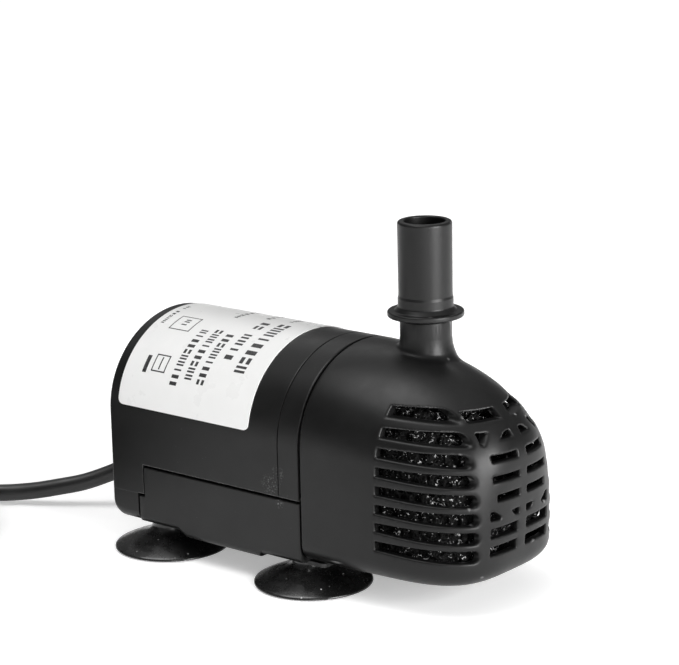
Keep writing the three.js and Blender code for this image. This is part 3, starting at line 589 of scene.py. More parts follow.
# ease the table a little, so that the crest line reads as moulded
for _ in range(2):
    _p = np.pad(R_TAB, ((1, 1), (0, 0)), mode="edge")
    R_TAB = (_p[:-2] + 2 * R_TAB + _p[2:]) / 4
    R_TAB = (np.roll(R_TAB, 1, 1) + 2 * R_TAB + np.roll(R_TAB, -1, 1)) / 4
G_AL = np.gradient(R_TAB, _al, axis=0)
_pd = np.concatenate([R_TAB[:, -1:], R_TAB, R_TAB[:, :1]], 1)
G_BE = (_pd[:, 2:] - _pd[:, :-2]) / (2 * (_be[1] - _be[0]))


def nose_field(x, y, z):
    """Signed distance, to first order, to the outside of the strainer."""
    px, py, pz = x - NC[0], y, z - NC[2]
    rho = np.sqrt(py * py + pz * pz)
    r = np.sqrt(px * px + rho * rho) + 1e-9
    al = np.arctan2(rho, px)
    be = np.arctan2(pz, py) % (2 * math.pi)
    ia = np.clip(al / (_al[1]), 0, NA_ - 1.001)
    ib = be / (_be[1])
    i0 = ia.astype(int)
    j0 = ib.astype(int) % NB_
    j1 = (j0 + 1) % NB_
    fa, fb = ia - i0, ib - ib.astype(int)

    def look(T):
        return (T[i0, j0] * (1 - fb) + T[i0, j1] * fb) * (1 - fa) + (T[i0 + 1, j0] * (1 - fb) + T[i0 + 1, j1] * fb) * fa

    R_ = look(R_TAB)
    ga, gb = look(G_AL), look(G_BE)
    sl = np.sqrt(1 + (ga / R_) ** 2 + np.clip(gb / (R_ * np.maximum(np.sin(al), 0.03)), -4, 4) ** 2)
    return (r - R_) / sl


STUB = np.array([(44.0, 8.2), (46.0, 7.2), (47.6, 6.5), (49.0, 5.95), (50.4, 5.6), (52.0, 5.46), (55.85, 5.45)])


def poly_field(u, v, pts):
    """Distance to a convex outline, negative inside."""
    pts = np.array(pts, float)
    c = pts.mean(0)
    d = None
    for a, b in zip(pts, np.roll(pts, -1, 0)):
        e = b - a
        n = np.array([e[1], -e[0]]) / np.linalg.norm(e)
        if (c - a) @ n > 0:
            n = -n
        q = (u - a[0]) * n[0] + (v - a[1]) * n[1]
        d = q if d is None else smax(d, q, 0.35)
    return d


def rect(y0, y1, z0, z1):
    return [(y0, z0), (y1, z0), (y1, z1), (y0, z1)]


WINDOWS = [
    [(1.6, 38.9), (8.75, 38.9), (8.4, 40.85), (1.6, 40.85)],
    [(6.7, 37.05), (8.9, 37.15), (9.2, 35.0), (8.6, 34.9)], [(1.5, 36.8), (2.9, 36.75), (4.7, 35.5), (1.5, 35.45)],
    rect(1.5, 8.3, 31.5, 32.85), rect(1.2, 8.7, 27.45, 28.75), rect(1.2, 7.9, 23.45, 24.85),
    [(8.9, 21.6), (9.7, 21.5), (9.7, 19.7), (7.2, 19.6), (6.8, 20.2)], [(1.2, 20.8), (3.7, 20.75), (2.6, 19.6), (1.2, 19.55)],
    rect(1.5, 9.6, 15.85, 17.95), rect(1.5, 9.6, 12.05, 14.05)]


def cover_field(x, y, z):
    f = nose_field(x, y, z)
    rho = np.hypot(x - OUT_X, y - OUT_Y)
    rs = np.interp(z, STUB[:, 0], STUB[:, 1])
    slope = np.interp(z, STUB[:, 0], np.abs(np.gradient(STUB[:, 1], STUB[:, 0])))
    stub = (rho - rs) / np.sqrt(1 + slope ** 2)
    stub = smax(stub, z - 55.85, 0.5)
    stub = np.maximum(stub, 44.5 - z)
    outer = smin(f, stub, 1.0)
    spigot = smax(rho - np.interp(z, [55, 64], [4.35, 4.2]), z - 64.0, 0.6)
    spigot = np.maximum(spigot, 50 - z)
    outer = smin(outer, spigot, 0.3)
    solid = smax(outer, -(f + COVER_T), 0.5)
    boss = np.maximum(np.maximum(rho - 6.3, 45.0 - z), f + 0.4)
    solid = smin(solid, boss, 0.5)
    solid = smax(solid, OUT_BORE - rho, 0.35)
    solid = smax(solid, SEAM - x, 0.4)
    # side slots: straight mould pulls along Y, a little taller towards the nose
    zz = z + rake(x)
    row = np.clip(np.round((ROW_Z0 - zz) / ROW_PITCH), 0, 7)
    hh = 0.95 + 0.33 * np.clip((x - SLOT_X0) / 13.0, 0, 1)
    dz = np.abs(zz - (ROW_Z0 - ROW_PITCH * row)) - hh
    yi = np.take([9.3, 10.3, 11.8, 12.0, 12.0, 12.0, 12.0, 12.0], row.astype(int)) - 0.25
    s = smax(smax(dz, SLOT_X0 - 0.95 - x, 0.35), yi + 0.25 - np.abs(y), 1.5)
    # front slots: straight pulls along X, left out over the ring band
    near = (x > 29.0) & (np.abs(y) < 11.2) & (z > 10) & (z < 43)
    if near.any():
        ay, az, ax = np.abs(y[near]), z[near], x[near]
        w = None
        for pts in WINDOWS:
            q = poly_field(ay, az, pts)
            w = q if w is None else np.minimum(w, q)
        w = np.maximum(w, 30.0 - ax)
        s = s.copy()
        s[near] = np.minimum(s[near], w)
    return smax(solid, -s, 0.42)


def build_cover():
    h = 0.31
    o = np.array([-0.35, -22.9, 5.0])
    n = [int(math.ceil(v / h)) + 2 for v in (42.2, 45.8, 60.0)]
    g = np.empty(n, np.float32)
    ys, zs = o[1] + h * np.arange(n[1]), o[2] + h * np.arange(n[2])
    Y, Z = np.meshgrid(ys, zs, indexing="ij")
    for i in range(n[0]):
        x = o[0] + h * i
        g[i] = cover_field(np.full_like(Y, x), Y, Z)
    v, q = surface_nets(g, o, (h, h, h))
    for _ in range(3):
        f0 = cover_field(v[:, 0], v[:, 1], v[:, 2])
        e = 0.05
        gr = np.stack([cover_field(v[:, 0] + (e if k == 0 else 0), v[:, 1] + (e if k == 1 else 0), v[:, 2] + (e if k == 2 else 0)) - f0
                       for k in range(3)], 1) / e
        gn = np.maximum((gr ** 2).sum(1), 0.2)
        step = -(f0 / gn)[:, None] * gr
        ln = np.linalg.norm(step, axis=1, keepdims=True)
        v = v + step * np.minimum(1, 0.4 * h / np.maximum(ln, 1e-9))
    return v, q


cv, cq = build_cover()
cover = new_piece("strainer_shell", cv, cq, "strainer", M_COVER, ["strainer_cover"], sharp=None)
dec = cover.modifiers.new("thin_out", "DECIMATE")
dec.ratio = 0.38
dec.use_collapse_triangulate = True


# ---------------------------------------------------------- housing, collar
def section(x, w, rise, zb, wl, zs, rb, rs=0.22, n=40):
    """Closed outline of the body at x: floor, optional recess up to zs, arch."""
    half = fillet([(0.0, zb), (wl, zb), (wl, zs), (w, zs), (w, ARCH_Z)], [0, rb, rs, rs, 0], seg=5)
    arch_ = [(w * math.cos(a), ARCH_Z + rise * math.sin(a)) for a in np.linspace(0, math.pi / 2, n)][1:]
    half += arch_
    full = half + [(-a, b) for a, b in half[-2:0:-1]]
    return [(x, a, b) for a, b in full]


def plain(x, t, zb=PAD_Z, rb=2.2, n=40):
    """The same outline with no recess, with matching points."""
    w, rise, z0 = HALF_W - t, ARCH_RISE - t, zb + t
    return section(x, w, rise, z0, w - 0.01, 12.7, max(0.4, rb - 0.4 * t), rs=0.01, n=n)


def build_housing():
    r = []
    # rear face: shallow panel inside a rounded border
    for x, t, z in ((0.45, 6.2, 9.0), (0.45, 4.25, 9.0), (0.36, 4.05, 9.0), (0.08, 3.8, 9.0), (0.0, 3.6, 9.0), (0.0, 1.4, 8.7)):
        r.append(plain(REAR_X + x, t, z))
    # small round at the sides and crest, a larger one under the rear edge
    rs_, big = 0.75, 2.9
    for k in range(0, 8):
        a = math.pi / 2 * k / 7
        x = REAR_X + rs_ * (1 - math.cos(a))
        t = rs_ * (1 - math.sin(a))
        lift = big * (1 - math.sqrt(1 - (1 - (x - REAR_X) / big) ** 2))
        r.append(plain(x, t, PAD_Z + max(0.0, lift - t)))
    for x in (REAR_X + 1.1, REAR_X + 1.5, REAR_X + 2.0, REAR_X + 2.5, REAR_X + big):
        r.append(plain(x, 0.0, PAD_Z + big * (1 - math.sqrt(1 - (1 - (x - REAR_X) / big) ** 2))))
    xs = BASE_STEP_X - GAP
    # two plain rings where the low rear block begins
    r += [plain(xs - 0.2, 0), plain(xs, 0)]
    lowr = lambda x, t=0.0: section(x, HALF_W - t, ARCH_RISE - t, 7.4, 19.9, BASE_STEP_Z + GAP + 0.1, 2.0)
    tall = lambda x, t=0.0: section(x, HALF_W - t, ARCH_RISE - t, 7.4, 19.9, SPLIT_Z + GAP + 0.1, 2.0)
    r += [lowr(xs), lowr(xs + 0.1), lowr(BASE_REAR_X - GAP - 0.05), lowr(BASE_REAR_X - GAP)]
    r += [tall(BASE_REAR_X - GAP), tall(BASE_REAR_X - GAP + 0.1)]
    r += [tall(x) for x in (-38, -28, -18, -10)]
    r += [tall(COLLAR_X - 0.35), tall(COLLAR_X - 0.22), tall(COLLAR_X - 0.12, 0.05), tall(COLLAR_X - 0.08, 0.14)]
    inner = lambda x, t=0.0: section(x, HALF_W - WALL - t, ARCH_RISE - WALL - t, 9.4, 18.0, SPLIT_Z + 2.3, 1.5)
    r += [inner(COLLAR_X - 0.08), inner(-30), inner(REAR_X + 2.3)]
    return loft(r)


v, f = build_housing()
# boss round the lead
bp = fillet([(0.0, REAR_X - 0.12), (5.3, REAR_X - 0.12), (5.3, REAR_X + 0.8), (0.0, REAR_X + 0.8)], [0, 0.35, 0, 0])
v, f = merge((v, f), lathe(bp, "X", (2.0, 12.0), 72))
housing = tidy(new_piece("housing_shell", v, f, "housing", M_SHELL, ["motor_housing"]))


def build_collar():
    out = lambda x, t=0.0: section(x, HALF_W - t, ARCH_RISE - t, 7.4, 19.9, SPLIT_Z + GAP + 0.1, 2.0)
    inn = lambda x, t=0.0: section(x, HALF_W - WALL - t, ARCH_RISE - WALL - t, 9.4, 18.0, SPLIT_Z + 2.3, 1.5)
    x0 = COLLAR_X + 0.08
    xe = -SEAM - 0.2
    r = [out(x0, 0.14), out(x0 + 0.04, 0.05), out(x0 + 0.14), out(x0 + 0.27), out(-2.5), out(xe - 0.35), out(xe - 0.22),
         out(xe - 0.08, 0.06), out(xe, 0.24), inn(xe), inn(-3), inn(x0)]
    return loft(r, loop=True)


v, f = build_collar()
collar = tidy(new_piece("collar_shell", v, f, "housing", M_SHELL, ["front_collar"]))


# ------------------------------------------------------------------ the tray
def tray_section(x, zp, ztop, t=0.0, zm=TRAY_BOTTOM):
    half = fillet([(0.0, zm), (8.0, zm), (8.0, zp), (HALF_W - t, zp), (HALF_W - t, ztop), (20.2 + t, ztop), (20.2 + t, 7.1), (0.0, 7.1)],
                  [0, 0.15, 0.15, 1.3, 0.2, 0.24, 0.5, 0], seg=6)
    # go round: outside half, inside back to the middle, then the mirror image
    full = half + [(-a, b) for a, b in half[-2:0:-1]]
    return [(x, a, b) for a, b in full]


def build_tray():
    e = 0.001
    xa, xb = CUP_X[0] + 9.2, CUP_X[1] - 9.2
    r = []
    top, low = SPLIT_Z - 0.15, BASE_STEP_Z - 0.1
    r += [tray_section(BASE_STEP_X + 0.1, PAD_Z, low - 0.15, 0.16), tray_section(BASE_STEP_X + 0.16, PAD_Z, low - 0.04, 0.05),
          tray_section(BASE_STEP_X + 0.3, PAD_Z, low)]
    r += [tray_section(BASE_REAR_X + 0.1, PAD_Z, low), tray_section(BASE_REAR_X + 0.1, PAD_Z, top - 0.1),
          tray_section(BASE_REAR_X + 0.2, PAD_Z, top), tray_section(BASE_REAR_X + 0.4, PAD_Z, top)]
    # the underside eases down between the pads
    for k in range(9):
        u = k / 8
        s = u * u * (3 - 2 * u)
        r.append(tray_section(xa - 1.6 + 3.2 * u, PAD_Z + (TRAY_BOTTOM + e - PAD_Z) * s, top))
    for k in range(7):
        u = k / 6
        s = u * u * (3 - 2 * u)
        r.append(tray_section(xb - 0.5 + 1.0 * u, TRAY_BOTTOM + e + (5.75 - TRAY_BOTTOM) * s, top))
    xe = -SEAM - 0.12
    r += [tray_section(-6, 5.75, top), tray_section(xe - 0.42, 5.75, top), tray_section(xe - 0.3, 5.75, top),
          tray_section(xe - 0.1, 5.75, top, 0.06), tray_section(xe, 5.75, top - 0.08, 0.2)]
    return loft(r)


v, f = build_tray()
tray = tidy(new_piece("tray_shell", v, f, "base", M_SHELL, ["base_tray"]))


def tongue():
    pts = fillet([(-1.2, -19.4), (4.0, -19.4), (4.0, 19.4), (-1.2, 19.4)], 0.8, closed=True, seg=5)
    rings = [[(x, y, z) for x, y in pts] for z in (5.05, 5.9)]
    return loft(rings)


tv, tf = tongue()
tongue_o = tidy(new_piece("tray_tongue", tv, tf, "base", M_SHELL))


def bore(target, x, y, r, z0, z1):
    """Cut a round hole through a piece."""
    cv_, cf_ = lathe([(0, z0), (r, z0), (r, z1), (0, z1)], "Z", (x, y), 40)
    c = tidy(new_piece("cutter", cv_, cf_, "base", M_SHELL))
    m_ = target.modifiers.new("hole", "BOOLEAN")
    m_.operation, m_.solver, m_.object = "DIFFERENCE", "EXACT", c
    dg = bpy.context.evaluated_depsgraph_get()
    me = bpy.data.meshes.new_from_object(target.evaluated_get(dg))
    target.modifiers.clear()
    old = target.data
    target.data = me
    bpy.data.meshes.remove(old)
    bpy.data.objects.remove(c)
    me.set_sharp_from_angle(angle=math.radians(38.0))


for cx in CUP_X:
    for s in (-1, 1):
        bore(tray, cx, s * CUP_Y, 2.5, 0, 20)
for s in (-1, 1):
    bore(tongue_o, CUP_X[1], s * CUP_Y, 2.5, 0, 20)

# ---------------------------------------------------------------- suction cups
def spline(pts, n=6):
    return [tuple(p) for p in smooth_path([(a, b, 0.0) for a, b in pts], 1e9 if n < 2 else 0.6)[:, :2]]


for i, cx in enumerate(CUP_X):
    zf = 5.75 if i else PAD_Z
    under = spline([(0.0, 2.1), (2.2, 2.08), (4.2, 2.0), (6.6, 1.75), (8.6, 1.35), (10.2, 0.75), (CUP_R - 1.4, 0.12), (CUP_R - 1.0, 0.0)])
    rim = [(CUP_R - 0.5, 0.0), (CUP_R - 0.15, 0.0), (CUP_R - 0.03, 0.06), (CUP_R, 0.2), (CUP_R - 0.05, 0.38), (CUP_R - 0.2, 0.55)]
    top = spline([(CUP_R - 0.5, 0.72), (11.2, 1.2), (9.2, 2.02), (7.2, 2.72), (5.8, 3.3), (4.85, 3.95), (4.42, 4.6), (4.3, 5.1)])
    neck = fillet([(4.3, 5.2), (4.3, zf - GAP), (2.15, zf - GAP), (2.15, 6.95), (0.0, 6.95)], [0, 0.2, 0.1, 0.35, 0], seg=4)
    cvv, cff = lathe(under + rim + top + neck, "Z", (cx, 0.0), 80)
    for s in (-1, 1):
        name = f"suction_cup_{'front' if i else 'rear'}_{'left' if s < 0 else 'right'}"
        body = f"cup_{'front' if i else 'rear'}_{'left' if s < 0 else 'right'}"
        cup = new_piece(name.replace("suction_cup", "cup"), [(x, y + s * CUP_Y, z) for x, y, z in cvv], cff, body, M_RUBBER, [name])
        tidy(cup)

# --------------------------------------------------------------------- nozzle
NZ0, NZT = 56.3, 76.43
prof = fillet([(4.66, NZ0), (8.04, NZ0), (8.04, NZ0 + 1.2), (6.55, NZ0 + 1.2), (5.83, NZ0 + 2.1), (5.81, 60.25), (5.66, 60.75), (5.71, NZT),
               (4.35, NZT), (4.35, 64.6), (4.66, 64.2)], [0.1, 0.32, 0.36, 0.35, 0.5, 0.15, 0.15, 0.62, 0.3, 0.1, 0.1], seg=6, closed=True)
v, f = lathe(prof, "Z", (OUT_X, OUT_Y), 96, ring=True)
nozzle = tidy(new_piece("nozzle_tube", v, f, "nozzle", M_NOZZLE, ["outlet_nozzle"]))

# ----------------------------------------------------------------- the label
TH = np.radians(np.linspace(0, 180, 3601))
_dl = np.sqrt((22.28 * np.sin(TH)) ** 2 + (19.63 * np.cos(TH)) ** 2)
ARC = np.concatenate([[0], np.cumsum((_dl[1:] + _dl[:-1]) / 2 * (TH[1] - TH[0]))])


def on_arch(x, s, up_):
    """Point on the near side at arc length s above the spring line, raised by up_."""
    t = float(np.interp(s, ARC, TH))
    return (x, -(HALF_W + up_) * math.cos(t), ARCH_Z + (ARCH_RISE + up_) * math.sin(t))


def build_label():
    s0, s1 = float(np.interp(0.0993, TH, ARC)), float(ARC[-1] - np.interp(0.0993, TH, ARC))
    x0, x1, r = -51.8, -13.9, 1.35
    ss = [s0 + r * (1 - math.cos(a)) for a in np.linspace(0, math.pi / 2, 9)]
    ss += list(np.linspace(s0 + r, s1 - r, 100))[1:-1]
    ss += [s1 - r * (1 - math.cos(a)) for a in np.linspace(math.pi / 2, 0, 9)]
    nx = 14
    top, bot = [], []
    for s in ss:
        d = min(s - s0, s1 - s)
        e = r - math.sqrt(max(0.0, r * r - (r - d) ** 2)) if d < r else 0.0
        for k in range(nx + 1):
            x = x0 + e + (x1 - x0 - 2 * e) * k / nx
            top.append(on_arch(x, s, 0.22))
            bot.append(on_arch(x, s, 0.05))
    n, m = len(ss), nx + 1
    verts = top + bot
    o = len(top)
    faces = []
    for i in range(n - 1):
        for k in range(nx):
            a = i * m + k
            faces.append((a, a + 1, a + m + 1, a + m))
            faces.append((o + a, o + a + m, o + a + m + 1, o + a + 1))
    rim = [k for k in range(m)] + [i * m + nx for i in range(1, n)] + [(n - 1) * m + k for k in range(nx - 1, -1, -1)] + [i * m for i in range(n - 2, 0, -1)]
    for a, b in zip(rim, rim[1:] + rim[:1]):
        faces.append((a, b, o + b, o + a))
    return verts, faces


_m = Mat("label", srgb(238, 238, 237), 0.36, spec=0.35)
_m.set("Base Color", _m.tone(srgb(239, 239, 238), 0.96, 1.0, 60.0))
_m.set("Roughness", _m.ramp(_m.noise(160.0, 5.0), (0.3, 0.24), (0.7, 0.38)))
_m.bump(_m.noise(110.0, 2.0), 0.06, 0.2)
M_LABEL = _m.m
_m = Mat("print", srgb(40), 0.4)
_m.set("Base Color", _m.ramp(_m.noise(2600.0, 2.0), (0.35, srgb(30)), (0.75, srgb(74))))
_m.set("Roughness", _m.ramp(_m.noise(900.0), (0.3, 0.3), (0.7, 0.5)))
M_PRINT = _m.m

v, f = build_label()
label = tidy(new_piece("label_sheet", v, f, "housing", M_LABEL, ["label"]))

# Plain printed bars in place of wording
PRINT = []


def patch(x0, x1, s0, s1):
    n = max(1, int(math.ceil((s1 - s0) / 0.6)))
    verts, faces = [], []
    for i in range(n + 1):
        s = s0 + (s1 - s0) * i / n
        verts += [on_arch(x0, s, 0.235), on_arch(x1, s, 0.235)]
    for i in range(n):
        a = 2 * i
        faces.append((a, a + 1, a + 3, a + 2))
    PRINT.append((verts, faces))




def marks(xc, h_, s0, s1, words, fill=0.78):
    """A row of plain marks in groups, read from s1 down to s0: solid and slit blocks."""
    cells = sum(words) + 0.8 * (len(words) - 1)
    step = (s1 - s0) / cells
    s, n = s1, int(abs(xc) * 7)
    xa, xb = xc - h_ / 2, xc + h_ / 2
    for wd in words:
        for _ in range(wd):
            a_, b_ = s - step * fill, s
            kind = (n * 7 + n // 3) % 4
            t_ = (b_ - a_) * 0.36
            if kind == 0:
                patch(xa, xb, a_, a_ + t_)
                patch(xa, xb, b_ - t_, b_)
            elif kind == 1:
                patch(xa, xa + h_ * 0.36, a_, b_)
                patch(xb - h_ * 0.36, xb, a_, b_)
            elif kind == 2:
                patch(xa, xb, a_ + t_ * 0.4, b_ - t_ * 0.4)
            else:
                patch(xa, xb, a_ + t_ * 0.9, b_ - t_ * 0.9)
            s -= step
            n += 1
        s -= 0.8 * step


def frame_box(x0, x1, s0, s1, t):
    patch(x0, x1, s0, s0 + t)
    patch(x0, x1, s1 - t, s1)
    patch(x0, x0 + t, s0 + t, s1 - t)
    patch(x1 - t, x1, s0 + t, s1 - t)


marks(-20.4, 2.9, 13.2, 31.6, [8], 0.74)
marks(-25.3, 2.2, 15.6, 31.0, [2, 4], 0.72)
marks(-29.5, 2.0, 9.0, 23.6, [9], 0.72)
marks(-33.2, 2.0, 9.6, 24.3, [9], 0.72)
marks(-36.9, 2.0, 7.6, 23.4, [10], 0.72)
patch(-46.65, -45.55, 9.8, 13.9)
frame_box(-44.3, -40.3, 10.4, 14.6, 0.3)
patch(-42.45, -42.1, 11.0, 14.0)
frame_box(-46.8, -40.8, 21.9, 27.2, 0.26)
marks(-43.8, 1.5, 23.1, 26.0, [2])
marks(-49.8, 0.85, 23.0, 32.5, [2, 5])
marks(-21.4, 1.0, 33.5, 38.0, [3])
marks(-27.5, 1.0, 33.0, 39.0, [4])
marks(-34.5, 1.0, 30.5, 38.5, [5])
v, f = merge(*PRINT)
label_print = new_piece("label_print", v, f, "housing", M_PRINT, smooth=False)

# ----------------------------------------------------------------------- foam
def foam_base(x, y, z):
    up_ = np.clip((z - 14.3) / 1.2, 0, 1)
    far = np.clip((y - 3.0) / 6.0, 0, 1) * up_ * np.clip((x - 22.0) / 4.0, 0, 1)
    f_ = nose_field(x, y, z) + COVER_T + 0.95 - 0.65 * far
    f_ = np.maximum(f_, 3.0 - x)
    f_ = np.maximum(f_, z - 42.6)
    ax = np.hypot(y, z - AXIS_Z)
    f_ = np.maximum(f_, -np.maximum(ax - 15.45, x - 20.2))
    f_ = np.maximum(f_, -np.maximum(np.hypot(y, z - 28.6) - 10.2, 10 - x))
    f_ = np.maximum(f_, -np.maximum(np.maximum(np.abs(y) - 9, x - 21.0), 28 - z))
    # the front end stops short of the bars, less so on the far upper side
    a = math.radians(11)
    return np.maximum(f_, (x - 35.2 - 1.0 * up_ - 3.4 * far) * math.cos(a) + y * math.sin(a) * (1 - far))


def hash01(ix, iy, iz, k):
    n = (ix * 73856093) ^ (iy * 19349663) ^ (iz * 83492791) ^ (k * 2654435761)
    n = (n ^ (n >> 13)) * 1274126177 & 0x7FFFFFFF
    return ((n ^ (n >> 16)) & 0xFFFF) / 65535.0


def pores(x, y, z, cell):
    """Distance to the nearest of a jittered set of centres, in mm."""
    ix, iy, iz = (np.floor(c / cell).astype(np.int64) for c in (x, y, z))
    best = np.full(x.shape, 9.0)
    for a in (-1, 0, 1):
        for b in (-1, 0, 1):
            for c in (-1, 0, 1):
                jx, jy, jz = ix + a, iy + b, iz + c
                cx = (jx + 0.2 + 0.6 * hash01(jx, jy, jz, 1)) * cell
                cy = (jy + 0.2 + 0.6 * hash01(jx, jy, jz, 2)) * cell
                cz = (jz + 0.2 + 0.6 * hash01(jx, jy, jz, 3)) * cell
                best = np.minimum(best, np.sqrt((x - cx) ** 2 + (y - cy) ** 2 + (z - cz) ** 2))
    return best


def build_foam():
    h = 0.64
    cell = 1.75
    o = np.array([2.4, -20.6, 6.6])
    n = [int(math.ceil(v_ / h)) + 2 for v_ in (35.0, 41.2, 37.4)]
    g = np.empty(n, np.float32)
    ys, zs = o[1] + h * np.arange(n[1]), o[2] + h * np.arange(n[2])
    Y, Z = np.meshgrid(ys, zs, indexing="ij")
    for i in range(n[0]):
        x = np.full_like(Y, o[0] + h * i)
        fb = foam_base(x, Y, Z)
        near = np.abs(fb) < 1.6
        p = np.zeros_like(fb)
        p[near] = pores(x[near], Y[near], Z[near], cell)
        # shallow open cells in the skin only
        cut = np.where(near, 0.80 - p, -9.0)
        g[i] = np.where(fb > -1.35, np.maximum(fb, cut), fb)
    return surface_nets(g, o, (h, h, h))


v, f = build_foam()
foam = new_piece("foam_block", v, f, "strainer", M_FOAM, ["foam_filter"], sharp=None)
foam.data.validate()

# ------------------------------------------------ strain relief, plug and tie
R0 = REAR_X - GAP
body = [(2.3, R0), (4.4, R0), (4.4, R0 - 1.5), (3.55, R0 - 2.3)]
x, r = R0 - 2.9, 3.5
for k in range(4):
    ra, rb_ = 3.5 - 0.14 * k, 3.5 - 0.14 * (k + 1)
    xa = x - 1.45 * k
    body += [(ra, xa), (ra, xa - 0.85), (ra - 0.45, xa - 1.0), (ra - 0.45, xa - 1.3)]
body += [(2.85, -64.2), (2.75, -64.9), (2.3, -64.9)]
prof = fillet(body, 0.16, seg=2, closed=True, hold=0.05)
v, f = lathe(prof, "X", (2.0, 12.0), 48, ring=True)
relief = tidy(new_piece("lead_relief", v, f, "housing", M_LEAD, ["strain_relief"]))


def along_plug(verts):
    d = np.array(PLUG_DIR)
    s = np.array([-d[1], d[0], 0.0])
    o = np.array(PLUG_AT)
    return [tuple(o + d * a + s * b + np.array([0, 0, 1.0]) * c) for a, b, c in verts]


def plug_part(name, prof_, node, mat, seg=64, ring=False, knurl=None):
    vv, ff = lathe(prof_, "X", (0.0, 0.0), seg, ring=ring)
    if knurl:
        a0, a1, depth = knurl
        out = []
        for a, b, c in vv:
            rr_ = math.hypot(b, c)
            if a0 < a < a1 and rr_ > 1:
                t = math.atan2(c, b)
                q = 1 - depth * (0.5 + 0.5 * math.cos(16 * t)) * math.sin(math.pi * (a - a0) / (a1 - a0)) ** 0.5 / rr_
                b, c = b * q, c * q
            out.append((a, b, c))
        vv = out
    return tidy(new_piece(name, along_plug(vv), ff, "housing", mat, [node]))


boot_p = fillet([(0.0, 0.0), (2.6, 0.0), (2.75, 1.6), (2.55, 1.9), (2.55, 2.3), (2.9, 2.6), (3.0, 3.8), (2.75, 4.1), (2.75, 4.5), (3.15, 4.8), (3.4, 6.2), (3.6, 7.5), (0.0, 7.5)],
                [0] + [0.15] * 11 + [0], seg=3)
boot = plug_part("plug_sleeve", boot_p, "plug_boot", M_LEAD)
pb = [(0.0, 7.8), (4.3, 7.8), (4.8, 8.6)] + [(4.8, a) for a in np.linspace(10, 23, 27)] + [(4.8, 24.5), (4.3, 25.4), (0.0, 25.4)]
pbody = plug_part("plug_grip", fillet(pb, [0, 0.4, 0.4] + [0] * 27 + [0.4, 0.4, 0], seg=4), "plug_body", M_LEAD, 128, knurl=(10.2, 22.8, 0.35))
barrel_p = fillet([(1.25, 25.7), (2.75, 25.7), (2.75, 34.6), (2.5, 35.2), (1.25, 35.2), (1.25, 26.2)], [0, 0.1, 0.25, 0.25, 0.1, 0], seg=4, closed=True)
barrel = plug_part("plug_tip", barrel_p, "plug_barrel", M_STEEL, ring=True)

a = math.radians(-29)
ct, st_ = math.cos(a), math.sin(a)
outer = fillet([(14.0, 0.0), (29.6, 0.0), (29.6, 22.1), (14.0, 22.1)], 1.6, closed=True, seg=6)
inner_ = fillet([(14.5, 0.45), (29.1, 0.45), (29.1, 21.6), (14.5, 21.6)], 1.2, closed=True, seg=6)
rr_ = []
for off, ring_ in ((-3.35, outer), (3.35, outer), (3.5, inner_), (-3.5, inner_)):
    rr_.append([(COIL_C[0] + r_ * ct + off * st_, COIL_C[1] + r_ * st_ - off * ct, z_) for r_, z_ in ring_])
v, f = loft(rr_, loop=True)
tie = tidy(new_piece("tie_band", v, f, "housing", M_LEAD, ["lead_tie"]))

# ------------------------------------------------- materials of the CAD nodes
FINISH = {
    "volute_casing": M_INNER, "rotor_can": M_INNER, "outlet_seal": M_RUBBER, "can_seal": M_RUBBER, "thrust_washer_front": M_RUBBER,
    "thrust_washer_rear": M_RUBBER, "shaft_seat_rear": M_RUBBER, "impeller": M_NYLON, "rotor_sleeve": M_NYLON,
    "stator_insulator_front": M_NYLON, "stator_insulator_rear": M_NYLON, "rotor_magnet": M_MAGNET, "bush_front": M_CERAMIC,
    "bush_rear": M_CERAMIC, "ceramic_shaft": M_CERAMIC, "stator_core": M_LAMINATION, "potting_ring": M_EPOXY, "driver_board": M_BOARD,
    "driver_chip": M_EPOXY, "hall_sensor": M_EPOXY, "board_capacitor": M_STEEL}
for k in range(1, 5):
    FINISH[f"can_screw_{k}"] = M_STEEL
for k in range(1, 7):
    FINISH[f"stator_coil_{k}"] = M_COPPER
for name, mat in FINISH.items():
    o = NODE[name]
    if not o.material_slots:
        o.data.materials.append(mat)
    for sl in o.material_slots:
        sl.link = "OBJECT"
        sl.material = mat

# --------------------------------------------------------- floor and lighting
bpy.ops.mesh.primitive_plane_add(size=60.0, location=(0, 0, -0.0002))
floor = bpy.context.object
floor.name = "floor"
floor.data.materials.append(M_FLOOR)

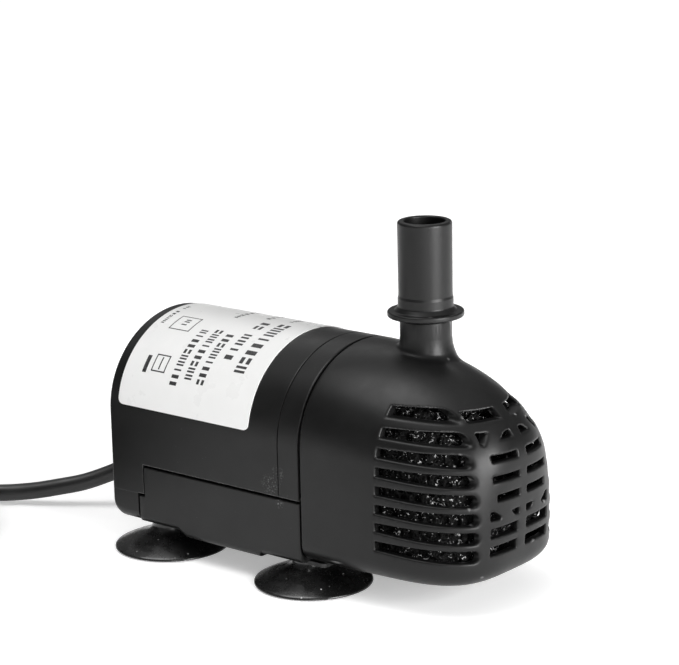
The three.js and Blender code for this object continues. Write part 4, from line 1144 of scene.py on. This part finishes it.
# The studio: dim walls, a bright ceiling and a white horizon.
world = bpy.data.worlds.new("studio")
scene.world = world
world.use_nodes = True
wt = world.node_tree
sky = wt.nodes["Background"]
tc = wt.nodes.new("ShaderNodeTexCoord")
sep = wt.nodes.new("ShaderNodeSeparateXYZ")
wt.links.new(tc.outputs["Generated"], sep.inputs[0])
rmp = wt.nodes.new("ShaderNodeValToRGB")
el = rmp.color_ramp.elements
while len(el) < 6:
    el.new(0.5)
for e_, (p_, c_) in zip(el, ((0.0, 0.36), (0.07, 0.22), (0.2, 0.12), (0.62, 0.14), (0.82, 0.36), (1.0, 0.6))):
    e_.position, e_.color = p_, (c_, c_, c_, 1.0)
wt.links.new(sep.outputs["Z"], rmp.inputs["Fac"])
wt.links.new(rmp.outputs["Color"], sky.inputs["Color"])
sky.inputs["Strength"].default_value = 1.2
white = wt.nodes.new("ShaderNodeBackground")
white.inputs["Color"].default_value = (1, 1, 1, 1)
white.inputs["Strength"].default_value = 1.0
lp = wt.nodes.new("ShaderNodeLightPath")
mx = wt.nodes.new("ShaderNodeMixShader")
wt.links.new(lp.outputs["Is Camera Ray"], mx.inputs[0])
wt.links.new(sky.outputs[0], mx.inputs[1])
wt.links.new(white.outputs[0], mx.inputs[2])
wt.links.new(mx.outputs[0], wt.nodes["World Output"].inputs[0])


def toward(az, elev):
    a_, e_ = math.radians(az), math.radians(elev)
    return Vector((math.cos(e_) * math.cos(a_), math.cos(e_) * math.sin(a_), math.sin(e_)))


def softbox(name, az, elev, dist, sx, sy, radiance, aim=(0.0, 0.0, 0.03)):
    d = bpy.data.lights.new(name, "AREA")
    d.shape = "RECTANGLE"
    d.size, d.size_y = sx, sy
    d.energy = radiance * math.pi * sx * sy
    o = bpy.data.objects.new(name, d)
    scene.collection.objects.link(o)
    v_ = toward(az, elev)
    o.location = Vector(aim) + v_ * dist
    o.rotation_mode = "QUATERNION"
    o.rotation_quaternion = v_.to_track_quat("Z", "Y")
    return o


softbox("key", -4, 12, 0.8, 0.42, 0.5, 15.0)
softbox("fill", -45, 13, 0.85, 0.22, 0.3, 4.5)
softbox("back", 134, 38, 1.1, 0.8, 0.22, 1.3)
sun = bpy.data.lights.new("ceiling", "SUN")
sun.energy, sun.angle = 1.15, math.radians(34)
sun_o = bpy.data.objects.new("ceiling", sun)
scene.collection.objects.link(sun_o)
sun_o.rotation_mode = "QUATERNION"
sun_o.rotation_quaternion = toward(-142, 73).to_track_quat("Z", "Y")
scene.view_settings.view_transform = "Standard"
scene.view_settings.exposure = 0.0

bpy.context.view_layer.update()
